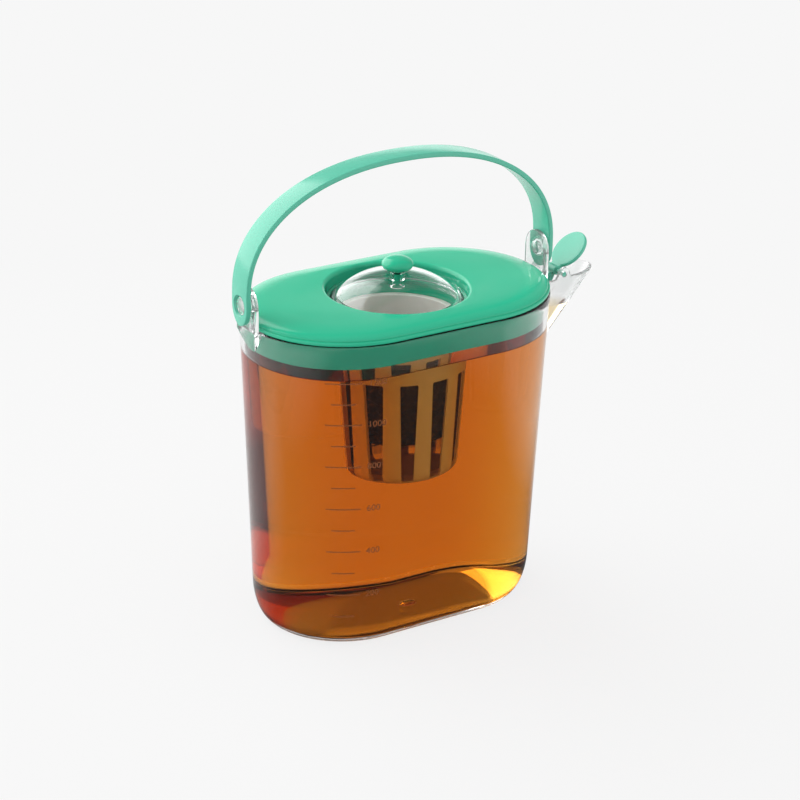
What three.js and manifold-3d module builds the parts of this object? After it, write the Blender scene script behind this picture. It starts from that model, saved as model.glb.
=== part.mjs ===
// Iced tea maker: a flat-sided clear jug with a spout, a swing handle, a lift-off lid,
// an infuser that hangs in the lid, a clear cover with a knob, and a flap on the spout.
// Millimetres, +Z up. The origin is the middle of the jug's foot, on the surface that
// it stands on. +X points to the spout and Y runs across the narrow side.

import * as THREE from 'three';
import { mergeVertices } from 'three/addons/utils/BufferGeometryUtils.js';
import Module from 'manifold-3d';

const wasm = await Module();
wasm.setup();

// Jug: outline at the rim and, carried on down, at the foot
const rimHalfLength = 75;
const rimHalfWidth = 45.7;
const rimHeight = 149.7;
const footHalfLength = 68.7;
const footHalfWidth = 40.8;
const footRoundHeight = 16;
const footRoundWidth = 6;
const innerFootRound = 2;
const jugWall = 1.8;
const floorThickness = 3;
const endReachShare = 1.05;

// Spout: a beak that grows out of the wall from its toe to its mouth
const spoutToeHeight = 105.8;
const spoutToeHalfWidth = 4;
const spoutToeSink = 0.3;
const spoutReach = 31.7;
const spoutTipDrop = 1.1;
const spoutMouthHalfWidth = 9.6;
const spoutMouthRise = 2.2;
const spoutWall = 1.7;
const spoutNoseShare = 1.5;
const spoutPortDrop = 14;

// Ears of the jug that carry the handle
const pivotRise = 11.4;
const earRadius = 8.3;
const earThickness = 2.2;
const earPlay = 0.7;
const earStandOff = 0.2;
const earFootDrop = 12.4;
const earFootSink = 1.4;
const earShoulderDrop = 2;
const studRadius = 4;
const studCoreRadius = 3;
const studFaceWall = 1.3;

// Swing handle: a flat strap bent to a superellipse
const strapThickness = 2.4;
const strapHalfWidth = 6.9;
const strapTopHalfWidth = 6.3;
const strapRise = 57.5;
const strapTail = 9.2;
const strapStraight = 5;
const strapPower = 2.2;
const strapRecess = 0.6;
const countersink = 0.9;

// Lid: lip on the rim, skirt inside it, crowned top
const lipHeight = 1.7;
const lipInset = 0.3;
const lidGroove = 0.9;
const lidGrooveHeight = 0.4;
const crownLength = 13;
const crownHeight = 3.3;
const lidSkin = 1.8;
const skirtDrop = 11.2;
const skirtWall = 1.6;
const skirtClearance = 0.4;

// Well in the lid: the cover's seat above, the infuser's seat below
const wellMouthRadius = 34.3;
const wellMouthRound = 1.9;
const coverSeatDepth = 6.7;
const wellRadius = 28.9;
const wellWall = 1.6;
const infuserSeatDepth = 14.5;
const infuserSeatWidth = 1.6;
const infuserSeatThickness = 1.5;

// Infuser: a flanged cup with tall windows, and the mesh behind them
const infuserFlangeThickness = 1.2;
const infuserLength = 72.1;
const infuserTaper = 4.1;
const infuserWall = 1.4;
const infuserFloor = 1.6;
const infuserFootRound = 5;
const windowCount = 10;
const windowTopWidth = 8.9;
const windowFootWidth = 6;
const windowTopBand = 20.6;
const windowFootBand = 1.8;
const windowTurnShare = 0.76;
const meshThickness = 0.4;
const meshOverlap = 1.6;

// Clear cover: a dome with a boss that hangs under its top and holds the knob's pin
const coverFlangeThickness = 1.2;
const coverFlangeWidth = 1.7;
const coverShell = 1.4;
const coverRise = 12.8;
const coverSpigot = 1.8;
const coverBossRadius = 3.4;
const coverBossLength = 7.8;
const coverCatchDepth = 4.6;

// Knob of the cover: an oval cap with a level underside, on a short neck
const knobRadius = 7.2;
const knobHalfHeight = 3.7;
const knobUnderAngle = THREE.MathUtils.degToRad(38);
const knobNeckRadius = 3;
const knobNeckLength = 0.7;
const knobPinRadius = 1.4;
const knobBarbRadius = 2.1;
const knobBarbLength = 1.5;

// Flap on the spout, built closed and turned open about its hinge
const flapHingeReach = 11;
const flapHingeRise = 1.44;
const flapHalfLength = 9.8;
const flapHalfWidth = 9;
const flapThickness = 1.8;
const flapStart = 2.1;
const knuckleRadius = 2.1;
const knuckleHalfLength = 3.6;
const flapPinRadius = 1.1;
const flapTailLength = 6.3;
const flapTailHalfWidth = 1.6;
const flapTailThickness = 2.4;
const flapTailDrop = THREE.MathUtils.degToRad(22);
const flapOpen = THREE.MathUtils.degToRad(39.5);
const cheekRadius = 3.3;

// Fits
const gap = 0.3;
const overrun = 5;
const weldDistance = 1e-4;

// Facets
const endSteps = 20;
const roundSteps = 6;
const noseSteps = 16;
const turnSteps = 48;
const smallTurnSteps = 20;
const domeSteps = 5;
const archSteps = 52;

// Heights and places that several pieces share
const pivotHeight = rimHeight + pivotRise;
const strapHalfLength = rimHalfLength + earStandOff + earThickness + earPlay + strapThickness;
const lidLipBottom = rimHeight + gap;
const lidCrownBottom = lidLipBottom + lipHeight + lidGrooveHeight;
const lidTop = lidCrownBottom + crownHeight;
const coverSeat = lidTop - coverSeatDepth;
const coverSeatRadius = wellMouthRadius - wellMouthRound;
const infuserSeat = lidTop - infuserSeatDepth;
const infuserSeatRadius = wellRadius - infuserSeatWidth;
const infuserTop = infuserSeat + gap + infuserFlangeThickness;
const infuserRadius = infuserSeatRadius - gap;
const infuserBottom = infuserTop - infuserLength;
const coverBottom = coverSeat + gap;
const coverTop = coverBottom + coverFlangeThickness + coverRise;
const knobBottom = coverTop + gap;
const spoutTip = rimHalfLength + spoutReach;
const spoutTipHeight = rimHeight - spoutTipDrop;
const spoutSlope = spoutMouthRise / spoutReach;
const flapHingeX = rimHalfLength + flapHingeReach;
const flapHingeHeight = spoutTipHeight - spoutSlope * (spoutTip - flapHingeX) + flapHingeRise;

const jade = { color: 0x33b58c, roughness: 0.38, metalness: 0 };
const clear = { color: 0xe6ecee, roughness: 0.06, metalness: 0, transparent: true, opacity: 0.35 };

/** Value a share of the way from low to high. */
function between(low, high, share) {
  return low + (high - low) * share;
}

/** Sine and cosine at even steps of a quarter turn. */
function quarterTurn() {
  const places = [];
  for (let step = 0; step <= roundSteps; step += 1) {
    const angle = (step / roundSteps) * Math.PI / 2;
    places.push([Math.sin(angle), Math.cos(angle)]);
  }
  return places;
}

/** Half-length of the jug's outside at a height. */
function jugHalfLength(height) {
  return between(footHalfLength, rimHalfLength, height / rimHeight);
}

/** Half-width of the jug's outside at a height. */
function jugHalfWidth(height) {
  return between(footHalfWidth, rimHalfWidth, height / rimHeight);
}

/** One level ring of the jug's outline: two straight sides and two round ends. */
function stadium(halfLength, halfWidth, height) {
  const reach = endReachShare * halfWidth;
  const ring = [];
  for (const side of [1, -1]) {
    for (let step = 0; step <= endSteps; step += 1) {
      const angle = (step / endSteps - 1 / 2) * Math.PI;
      const x = side * (halfLength - reach + reach * Math.cos(angle));
      ring.push(new THREE.Vector3(x, side * halfWidth * Math.sin(angle), height));
    }
  }
  return ring;
}

/** The jug's ring at a height, drawn in by an inset. */
function jugRing(inset, height) {
  return stadium(jugHalfLength(height) - inset, jugHalfWidth(height) - inset, height);
}

/** Closed skin over a stack of rings that run the same way round, lowest ring first. */
function loft(rings) {
  const count = rings[0].length;
  const positions = rings.flat().flatMap((point) => [point.x, point.y, point.z]);
  const index = [];
  for (let level = 0; level + 1 < rings.length; level += 1) {
    for (let step = 0; step < count; step += 1) {
      const a = level * count + step;
      const b = level * count + ((step + 1) % count);
      index.push(a, b, b + count, a, b + count, a + count);
    }
  }
  const last = (rings.length - 1) * count;
  for (const [a, b, c] of capOf(rings[0])) index.push(c, b, a);
  for (const [a, b, c] of capOf(rings.at(-1))) index.push(last + a, last + b, last + c);
  const geometry = new THREE.BufferGeometry();
  geometry.setAttribute('position', new THREE.Float32BufferAttribute(positions, 3));
  geometry.setIndex(index);
  return geometry;
}

/** Triangles that fill one ring. */
function capOf(ring) {
  const flat = ring.map((point) => new THREE.Vector2(point.x, point.y));
  return THREE.ShapeUtils.triangulateShape(flat, []);
}

/** Six times the signed volume of an indexed mesh: negative where its faces point in. */
function signedVolume(points, index) {
  const corner = (i) => new THREE.Vector3().fromArray(points, index[i] * 3);
  let total = 0;
  for (let i = 0; i < index.length; i += 3) {
    total += corner(i).dot(corner(i + 1).cross(corner(i + 2)));
  }
  return total;
}

/** Solid of a closed geometry. */
function solidOf(geometry) {
  const bare = geometry.clone();
  bare.deleteAttribute('normal');
  bare.deleteAttribute('uv');
  const welded = mergeVertices(bare, weldDistance);
  const points = new Float32Array(welded.attributes.position.array);
  const index = new Uint32Array(welded.index.array);
  if (signedVolume(points, index) < 0) index.reverse();
  return new wasm.Manifold(new wasm.Mesh({ numProp: 3, vertProperties: points, triVerts: index }));
}

/** Geometry of a solid. */
function geometryOf(solid) {
  const { vertProperties, triVerts } = solid.getMesh();
  const geometry = new THREE.BufferGeometry();
  geometry.setAttribute('position', new THREE.BufferAttribute(vertProperties, 3));
  geometry.setIndex(new THREE.BufferAttribute(triVerts, 1));
  geometry.computeVertexNormals();
  return geometry;
}

/** Solid turned about Z from a profile of [radius, height] points. */
function turned(profile, steps) {
  const points = profile.map(([radius, height]) => new THREE.Vector2(radius, height));
  return solidOf(new THREE.LatheGeometry(points, steps).rotateX(Math.PI / 2));
}

/** Round bar along Y, with its middle at a place. */
function barAlongY(radius, halfLength, x, z) {
  const bar = new THREE.CylinderGeometry(radius, radius, 2 * halfLength, smallTurnSteps);
  return solidOf(bar.translate(x, 0, z));
}

/** Cone or cylinder along X from one x to another, at a height. */
function coneAlongX(startRadius, endRadius, startX, endX, z) {
  const cone = new THREE.CylinderGeometry(startRadius, endRadius, endX - startX, smallTurnSteps);
  return solidOf(cone.rotateZ(Math.PI / 2).translate((startX + endX) / 2, 0, z));
}

/** A shape drawn in Y and Z, extruded along X between two places. */
function acrossX(shape, startX, endX) {
  const block = new THREE.ExtrudeGeometry(shape, {
    depth: endX - startX,
    bevelEnabled: false,
    curveSegments: noseSteps,
  });
  const basis = new THREE.Matrix4().makeBasis(
    new THREE.Vector3(0, 1, 0),
    new THREE.Vector3(0, 0, 1),
    new THREE.Vector3(1, 0, 0),
  );
  return solidOf(block.applyMatrix4(basis).translate(startX, 0, 0));
}

/** A shape drawn in X and Z, extruded along Y between two places. */
function acrossY(shape, startY, endY) {
  const block = new THREE.ExtrudeGeometry(shape, {
    depth: endY - startY,
    bevelEnabled: false,
    curveSegments: noseSteps,
  });
  const basis = new THREE.Matrix4().makeBasis(
    new THREE.Vector3(1, 0, 0),
    new THREE.Vector3(0, 0, 1),
    new THREE.Vector3(0, -1, 0),
  );
  return solidOf(block.applyMatrix4(basis).translate(0, endY, 0));
}

/** Shape through [u, v] corners. */
function polygon(corners) {
  return new THREE.Shape(corners.map(([u, v]) => new THREE.Vector2(u, v)));
}

/** Copy of a solid on the other side of the plane x = 0. */
function acrossTheJug(solid) {
  return solid.rotate([0, 0, 180]);
}

/** How far the foot's rounding draws the jug in at a height. */
function footInset(height) {
  const below = Math.max(1 - height / footRoundHeight, 0);
  return footRoundWidth * (1 - Math.sqrt(1 - below ** 2));
}

/** Heights of the rings that round the foot, lowest first. */
function footHeights() {
  return quarterTurn().map(([, cosine]) => footRoundHeight * (1 - cosine));
}

/** Rings of the jug's outside, from its foot to its rim. */
function outerRings() {
  const heights = [...footHeights(), rimHeight];
  return heights.map((height) => jugRing(footInset(height), height));
}

/** Rings of the jug's inside, from a level floor with a tighter corner up to a height. */
function innerRings(top) {
  const cornerTop = floorThickness + innerFootRound;
  const inset = jugWall + footInset(cornerTop);
  const corner = quarterTurn().map(([sine, cosine]) =>
    jugRing(inset + innerFootRound * (1 - sine), floorThickness + innerFootRound * (1 - cosine)),
  );
  const heights = [...footHeights().filter((height) => height > cornerTop), top];
  return [...corner, ...heights.map((height) => jugRing(jugWall + footInset(height), height))];
}

/** One ring of the spout: open share 0 at its toe and 1 at its mouth. */
function spoutRing(share, inset, extraHeight) {
  const keelLean = Math.hypot(1, spoutReach / (spoutTipHeight - spoutToeHeight));
  const halfWidth = between(spoutToeHalfWidth, spoutMouthHalfWidth, share) - inset;
  const toe = jugHalfLength(spoutToeHeight) - spoutToeSink;
  const nose = between(toe, spoutTip, share) - inset * keelLean;
  const round = spoutNoseShare * halfWidth;
  const root = toe - spoutReach / 2;
  const place = (x, y) => {
    const level = between(spoutToeHeight, spoutTipHeight, share);
    return new THREE.Vector3(x, y, level + share * spoutSlope * (x - spoutTip) + extraHeight);
  };
  const ring = [place(root, -halfWidth)];
  for (let step = 0; step <= noseSteps; step += 1) {
    const angle = (step / noseSteps - 1 / 2) * Math.PI;
    ring.push(place(nose - round + round * Math.cos(angle), halfWidth * Math.sin(angle)));
  }
  ring.push(place(root, halfWidth));
  return ring;
}

/** Ear at the spout end, with its hollow stud: profile across X cut by a round-topped front. */
function jugEar() {
  const inner = rimHalfLength + earStandOff;
  const outer = inner + earThickness;
  const earTop = pivotHeight + earRadius + overrun;
  const footBottom = rimHeight - earFootDrop;
  const profile = polygon([
    [inner, rimHeight],
    [inner, earTop],
    [outer, earTop],
    [outer, rimHeight - earShoulderDrop],
    [jugHalfLength(footBottom) - earFootSink / 2, footBottom],
    [jugHalfLength(footBottom) - earFootSink, footBottom],
    [rimHalfLength - earFootSink, rimHeight],
  ]);
  const front = new THREE.Shape();
  front.moveTo(earRadius, rimHeight - earShoulderDrop);
  front.lineTo(earRadius, pivotHeight);
  front.absarc(0, pivotHeight, earRadius, 0, Math.PI, false);
  front.lineTo(-earRadius, rimHeight - earShoulderDrop);
  front.lineTo(-earShoulderDrop, footBottom);
  front.lineTo(earShoulderDrop, footBottom);
  const plate = acrossY(profile, -earRadius - overrun, earRadius + overrun);
  const ear = plate.intersect(acrossX(front, inner - overrun, outer + overrun));
  const studFace = strapHalfLength - strapRecess;
  const stud = coneAlongX(studRadius, studRadius, outer - earThickness / 2, studFace, pivotHeight);
  const core = coneAlongX(
    studCoreRadius,
    studCoreRadius,
    inner - overrun,
    studFace - studFaceWall,
    pivotHeight,
  );
  return ear.add(stud).subtract(core);
}

/** The two cheeks on the spout's sides that hold the flap's pins. */
function spoutCheeks() {
  const cheek = new THREE.Shape();
  const foot = flapHingeHeight - 2 * cheekRadius;
  cheek.moveTo(flapHingeX + 2 * cheekRadius, foot);
  cheek.lineTo(flapHingeX + cheekRadius, flapHingeHeight);
  cheek.absarc(flapHingeX, flapHingeHeight, cheekRadius, 0, Math.PI, false);
  cheek.lineTo(flapHingeX - 2 * cheekRadius, foot);
  const outside = spoutMouthHalfWidth - gap / 2;
  const inside = outside - spoutWall;
  const pair = acrossY(cheek, inside, outside).add(acrossY(cheek, -outside, -inside));
  const pinHole = barAlongY(flapPinRadius + gap, outside + overrun, flapHingeX, flapHingeHeight);
  return pair.subtract(pinHole);
}

/** Clear jug: shell, spout, ears and studs, moulded in one. */
function jugBody() {
  const outside = solidOf(loft(outerRings()));
  const inside = solidOf(loft(innerRings(rimHeight + overrun)));
  const spout = solidOf(loft([spoutRing(0, 0, 0), spoutRing(1, 0, 0)]));
  const channel = solidOf(
    loft([spoutRing(0, spoutWall, 0), spoutRing(1, spoutWall, 0), spoutRing(1, spoutWall, overrun)]),
  );
  const belowCollar = new THREE.BoxGeometry(
    2 * (rimHalfLength + spoutReach),
    2 * rimHalfWidth,
    rimHeight - spoutPortDrop,
  ).translate(0, 0, (rimHeight - spoutPortDrop) / 2);
  const port = channel.intersect(solidOf(belowCollar));
  const ears = jugEar().add(acrossTheJug(jugEar()));
  return outside
    .add(spout)
    .add(ears)
    .subtract(inside)
    .subtract(channel.subtract(outside))
    .subtract(port)
    .add(spoutCheeks());
}

/** One superellipse arch of the strap, from its right foot over the top to its left foot. */
function archPoints(halfLength, rise) {
  const power = 2 / strapPower;
  const points = [[halfLength, -strapTail - overrun]];
  for (let step = 0; step <= archSteps; step += 1) {
    const angle = (step / archSteps) * Math.PI;
    const x = Math.sign(Math.cos(angle)) * Math.abs(Math.cos(angle)) ** power * halfLength;
    points.push([x, between(strapStraight, rise, Math.abs(Math.sin(angle)) ** power)]);
  }
  points.push([-halfLength, -strapTail - overrun]);
  return points;
}

/** Swing handle, about its own pivot: the arch cut by the strap's side view, and its holes. */
function handleStrap() {
  const inner = archPoints(strapHalfLength - strapThickness, strapRise - strapThickness);
  const arch = polygon([...archPoints(strapHalfLength, strapRise), ...inner.reverse()]);
  const side = new THREE.Shape();
  side.moveTo(strapHalfWidth, 0);
  side.lineTo(strapTopHalfWidth, strapRise);
  side.lineTo(strapTopHalfWidth, strapRise + overrun);
  side.lineTo(-strapTopHalfWidth, strapRise + overrun);
  side.lineTo(-strapTopHalfWidth, strapRise);
  side.lineTo(-strapHalfWidth, 0);
  side.absellipse(0, 0, strapHalfWidth, strapTail, Math.PI, 2 * Math.PI, false, 0);
  const far = strapHalfLength + overrun;
  const strap = acrossY(arch, -far, far).intersect(acrossX(side, -far, far));
  const holeRadius = studRadius + gap;
  const hole = coneAlongX(holeRadius, holeRadius, -far, far, 0);
  const flare = coneAlongX(
    holeRadius,
    holeRadius + countersink,
    strapHalfLength - countersink,
    strapHalfLength + gap,
    0,
  );
  return strap.subtract(hole).subtract(flare).subtract(acrossTheJug(flare));
}

/** Rings of the lid's crown, from its lip to its level top, drawn in by the skin's thickness. */
function crownRings(inset, bottom, top) {
  return quarterTurn().map(([sine, cosine]) => {
    const pull = inset + crownLength * (1 - cosine);
    return stadium(rimHalfLength - pull, rimHalfWidth - pull, between(bottom, top, sine));
  });
}

/** Lid: lip, skirt and crowned top as a shell, and the stepped well in its middle. */
function lidShell() {
  const skirtInset = jugWall + skirtClearance;
  const skirtBottom = rimHeight - skirtDrop;
  const lipTop = lidLipBottom + lipHeight;
  const lip = (height) => stadium(rimHalfLength - lipInset, rimHalfWidth - lipInset, height);
  const outside = solidOf(
    loft([
      jugRing(skirtInset, skirtBottom),
      jugRing(skirtInset, lidLipBottom),
      lip(lidLipBottom),
      lip(lipTop),
      ...crownRings(lipInset + lidGroove, lidCrownBottom, lidTop),
    ]),
  );
  const hollowInset = skirtInset + skirtWall;
  const inside = solidOf(
    loft([
      jugRing(hollowInset, skirtBottom - overrun),
      jugRing(hollowInset, lidLipBottom),
      ...crownRings(hollowInset, lidLipBottom + gap, lidTop - lidSkin),
    ]),
  );
  const wellOutside = wellRadius + wellWall;
  const seatOutside = coverSeatRadius + wellWall;
  const wellBottom = infuserSeat - infuserSeatThickness;
  const seatBottom = coverSeat - wellWall;
  const well = turned(
    [
      [0, wellBottom],
      [wellOutside, wellBottom],
      [wellOutside, seatBottom - wellWall],
      [seatOutside, seatBottom],
      [seatOutside, lidTop - lidSkin / 2],
      [0, lidTop - lidSkin / 2],
    ],
    turnSteps,
  );
  return outside.subtract(inside).add(well).subtract(wellBore());
}

/** What is cut out of the lid's middle: both seats and the rounded mouth. */
function wellBore() {
  const profile = [
    [0, infuserSeat - infuserSeatThickness - overrun],
    [infuserSeatRadius, infuserSeat - infuserSeatThickness - overrun],
    [infuserSeatRadius, infuserSeat],
    [wellRadius, infuserSeat],
    [wellRadius, coverSeat],
    [coverSeatRadius, coverSeat],
  ];
  for (const [sine, cosine] of quarterTurn()) {
    profile.push([
      coverSeatRadius + wellMouthRound * (1 - cosine),
      lidTop - wellMouthRound * (1 - sine),
    ]);
  }
  profile.push([wellMouthRadius, lidTop + overrun], [0, lidTop + overrun]);
  return turned(profile, turnSteps);
}

/** Outside radius of the infuser's cup at a height. */
function infuserRadiusAt(height) {
  return infuserRadius - infuserTaper * (infuserTop - height) / infuserLength;
}

/** Infuser: flanged cup with a round foot and tall windows that narrow downwards. */
function infuserBasket() {
  const flangeRadius = wellRadius - gap;
  const innerBottom = infuserBottom + infuserFloor;
  const innerRound = infuserFootRound - infuserWall;
  const profile = [[0, infuserBottom]];
  for (const [sine, cosine] of quarterTurn()) {
    const height = infuserBottom + infuserFootRound * (1 - cosine);
    profile.push([infuserRadiusAt(height) - infuserFootRound * (1 - sine), height]);
  }
  profile.push([infuserRadius, infuserTop - infuserFlangeThickness]);
  profile.push([flangeRadius, infuserTop - infuserFlangeThickness]);
  profile.push([flangeRadius, infuserTop]);
  profile.push([infuserRadius - infuserWall, infuserTop]);
  for (const [sine, cosine] of quarterTurn().reverse()) {
    const height = innerBottom + innerRound * (1 - cosine);
    const inset = infuserWall + innerRound * (1 - sine);
    profile.push([infuserRadiusAt(height) - inset, height]);
  }
  profile.push([0, innerBottom]);
  let cup = turned(profile, turnSteps);
  const windowTop = infuserTop - windowTopBand - infuserFlangeThickness;
  const windowBottom = infuserBottom + windowFootBand;
  const outline = polygon([
    [windowFootWidth / 2, windowBottom],
    [windowTopWidth / 2, windowTop],
    [-windowTopWidth / 2, windowTop],
    [-windowFootWidth / 2, windowBottom],
  ]);
  for (let count = 0; count < windowCount; count += 1) {
    const opening = acrossX(outline, infuserRadius / 2, infuserRadius + gap);
    cup = cup.subtract(opening.rotate([0, 0, ((count + windowTurnShare) / windowCount) * 360]));
  }
  return cup;
}

/** One face of the mesh, from its foot to its top, drawn in from the infuser's inside. */
function meshFace(inset) {
  const round = infuserFootRound - infuserWall - inset;
  const bottom = infuserBottom + infuserFloor + inset;
  const face = quarterTurn().map(([sine, cosine]) => {
    const height = bottom + round * (1 - cosine);
    return [infuserRadiusAt(height) - infuserWall - inset - round * (1 - sine), height];
  });
  const top = infuserTop - windowTopBand - infuserFlangeThickness + meshOverlap;
  return [...face, [infuserRadiusAt(top) - infuserWall - inset, top]];
}

/** Fine mesh that lines the infuser behind its windows, and turns in over its floor. */
function infuserMesh() {
  const outer = meshFace(gap);
  const inner = meshFace(gap + meshThickness).reverse();
  return turned([...outer, ...inner, outer[0]], turnSteps);
}

/** Height of a dome of a given foot radius and rise at a radius. */
function domeHeight(radius, footRadius, rise) {
  const sphere = (footRadius ** 2 + rise ** 2) / (2 * rise);
  return Math.sqrt(sphere ** 2 - radius ** 2) - (sphere - rise);
}

/** Places on the dome from one radius to another, about the cover's flange. */
function domePoints(from, to, drop) {
  const footRadius = coverSeatRadius - gap - coverFlangeWidth;
  const points = [];
  for (let step = 0; step <= domeSteps; step += 1) {
    const radius = between(from, to, step / domeSteps);
    points.push([radius, coverFlangeThickness + domeHeight(radius, footRadius, coverRise) - drop]);
  }
  return points;
}

/** Clear cover, about its own flange: flange, spigot, dome and the boss under its top. */
function domeLid() {
  const flangeRadius = coverSeatRadius - gap;
  const spigotOutside = wellRadius - gap;
  const spigotInside = spigotOutside - coverShell;
  const boreRadius = knobPinRadius + gap;
  const catchRadius = knobBarbRadius + gap;
  const top = coverFlangeThickness + coverRise;
  return turned(
    [
      [spigotInside, -coverSpigot],
      [spigotOutside, -coverSpigot],
      [spigotOutside, 0],
      [flangeRadius, 0],
      [flangeRadius, coverFlangeThickness],
      ...domePoints(flangeRadius - coverFlangeWidth, boreRadius, 0),
      [boreRadius, top - coverCatchDepth],
      [catchRadius, top - coverCatchDepth],
      [catchRadius, top - coverBossLength],
      [coverBossRadius, top - coverBossLength],
      ...domePoints(coverBossRadius, spigotInside, coverShell),
      [spigotInside, -coverSpigot],
    ],
    turnSteps,
  );
}

/** Knob, about the foot of its neck: oval cap, neck, pin and the barb in the cover's boss. */
function knobBody() {
  const pinLength = coverCatchDepth + 2 * gap;
  const profile = [
    [0, -pinLength - knobBarbLength],
    [knobPinRadius, -pinLength - knobBarbLength],
    [knobBarbRadius, -pinLength],
    [knobPinRadius, -pinLength],
    [knobPinRadius, 0],
    [knobNeckRadius, 0],
    [knobNeckRadius, knobNeckLength],
  ];
  const middle = knobNeckLength + knobHalfHeight * Math.sin(knobUnderAngle);
  for (let step = 0; step < 2 * roundSteps; step += 1) {
    const angle = between(-knobUnderAngle, Math.PI / 2, step / (2 * roundSteps));
    profile.push([knobRadius * Math.cos(angle), middle + knobHalfHeight * Math.sin(angle)]);
  }
  profile.push([0, middle + knobHalfHeight]);
  return turned(profile, smallTurnSteps);
}

/** Flap, closed and about its hinge: oval leaf, knuckle, pins and tail. */
function spoutFlap() {
  const closedSlope = Math.atan(spoutSlope);
  const leafUnder = gap - flapHingeRise;
  const leaf = new THREE.Shape();
  leaf.absellipse(flapStart + flapHalfLength, 0, flapHalfLength, flapHalfWidth, 0, 2 * Math.PI);
  const plate = new THREE.ExtrudeGeometry(leaf, {
    depth: flapThickness,
    bevelEnabled: false,
    curveSegments: 2 * endSteps,
  });
  plate.translate(0, 0, leafUnder);
  const root = new THREE.BoxGeometry(flapStart + knuckleRadius, 2 * knuckleHalfLength, flapThickness);
  root.translate((flapStart + knuckleRadius) / 2, 0, leafUnder + flapThickness / 2);
  const tail = new THREE.BoxGeometry(flapTailLength, 2 * flapTailHalfWidth, flapTailThickness);
  tail.translate(-flapTailLength / 2, 0, 0).rotateY(-flapTailDrop);
  const pinEnd = spoutMouthHalfWidth - gap;
  return solidOf(plate)
    .add(solidOf(root))
    .add(barAlongY(knuckleRadius, knuckleHalfLength, 0, 0))
    .add(barAlongY(flapPinRadius, pinEnd, 0, 0))
    .add(solidOf(tail))
    .rotate([0, -THREE.MathUtils.radToDeg(closedSlope), 0]);
}

/** Named mesh of a solid. */
function piece(name, solid, finish) {
  const mesh = new THREE.Mesh(geometryOf(solid), new THREE.MeshStandardMaterial(finish));
  mesh.name = name;
  return mesh;
}

const jug = piece('jug_body', jugBody(), clear);

const handle = piece('handle', handleStrap(), jade);
handle.position.set(0, 0, pivotHeight);

const flap = piece('spout_flap', spoutFlap(), jade);
flap.position.set(flapHingeX, 0, flapHingeHeight);
flap.rotation.y = -flapOpen;

const lid = piece('lid', lidShell(), jade);

const infuser = piece('infuser_basket', infuserBasket(), {
  color: 0xd9d2c0,
  roughness: 0.45,
  metalness: 0,
});

const mesh = piece('infuser_mesh', infuserMesh(), {
  color: 0x4a4038,
  roughness: 0.7,
  metalness: 0,
});

const cover = piece('dome_lid', domeLid(), clear);
cover.position.z = coverBottom;

const knob = piece('knob', knobBody(), jade);
knob.position.z = knobBottom;

const maker = new THREE.Group();
maker.add(jug, handle, flap, lid, infuser, mesh, cover, knob);

export default maker;
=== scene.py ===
"""Looks of an iced tea maker: a clear jug of tea with a green handle, lid, knob and flap.

Lengths are metres in the frame's own axes: +Z up, +X towards the spout, and the origin under
the middle of the jug's foot. Each class makes the pieces of one sub-assembly.
"""

import logging
import math
from collections.abc import Iterable, Iterator, Sequence
from contextlib import contextmanager
from dataclasses import dataclass
from enum import Enum

import bmesh
import bpy
from bpy.types import ID, Material, Mesh, Node, NodeSocket, Object, World
from mathutils import Matrix, Vector, noise
from mathutils.bvhtree import BVHTree


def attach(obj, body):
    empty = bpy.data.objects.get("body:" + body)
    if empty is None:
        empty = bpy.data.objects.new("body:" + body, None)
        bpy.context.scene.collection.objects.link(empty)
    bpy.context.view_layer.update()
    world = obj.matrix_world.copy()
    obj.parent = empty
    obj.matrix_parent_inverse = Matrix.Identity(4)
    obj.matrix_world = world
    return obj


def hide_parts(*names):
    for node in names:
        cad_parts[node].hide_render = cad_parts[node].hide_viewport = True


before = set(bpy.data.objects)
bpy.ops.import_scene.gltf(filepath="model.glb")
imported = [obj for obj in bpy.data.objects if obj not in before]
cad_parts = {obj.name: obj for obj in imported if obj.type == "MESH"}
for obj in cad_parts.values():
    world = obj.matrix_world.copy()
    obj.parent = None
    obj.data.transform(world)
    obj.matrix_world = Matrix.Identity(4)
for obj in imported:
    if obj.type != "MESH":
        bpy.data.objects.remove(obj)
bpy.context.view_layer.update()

LOG = logging.getLogger("iced_tea_maker")
MM = 0.001
TURN = 2 * math.pi
QUARTER = math.pi / 2
OVERRUN = 5 * MM
GAP = 0.3 * MM
NEAR = 0.002 * MM
BEVEL_STEPS = 3
SHARP = math.radians(35)
LEAF_SHARP = math.radians(60)
NOISE_LOW = 0.3
NOISE_HIGH = 0.7
MIX_INPUTS = (0, 6, 7)
MIX_OUTPUT = 2

Ring = list[Vector]
Colour = tuple[float, float, float]
Profile = Sequence[tuple[float, float]]


class Body(Enum):
    """Bodies of the frame that pieces ride on."""

    JUG = "jug"
    HANDLE = "handle"
    FLAP = "flap"
    LID = "lid"
    INFUSER = "infuser"
    COVER = "cover"


class Slot(Enum):
    """Material slots of the frame's record."""

    CLEAR = "clear_plastic"
    GREEN = "green_plastic"
    INFUSER = "infuser_plastic"
    MESH = "infuser_mesh"


class Join(Enum):
    """Ways to join one solid with another."""

    ADD = "UNION"
    CUT = "DIFFERENCE"
    KEEP = "INTERSECT"


class JugFace(Enum):
    """Kinds of face on the jug, by their place in its list of finishes."""

    PLAIN = 0
    WETTED = 1
    HAZY = 2
    EDGE_LIT = 3


def between(low: float, high: float, share: float) -> float:
    """Value a share of the way from low to high."""
    return low + (high - low) * share


def shares(steps: int) -> list[float]:
    """Even shares from nothing to the whole."""
    return [step / steps for step in range(steps + 1)]


def square(reach: float) -> Profile:
    """Corners of a square about the middle."""
    return [(-reach, -reach), (reach, -reach), (reach, reach), (-reach, reach)]


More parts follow.
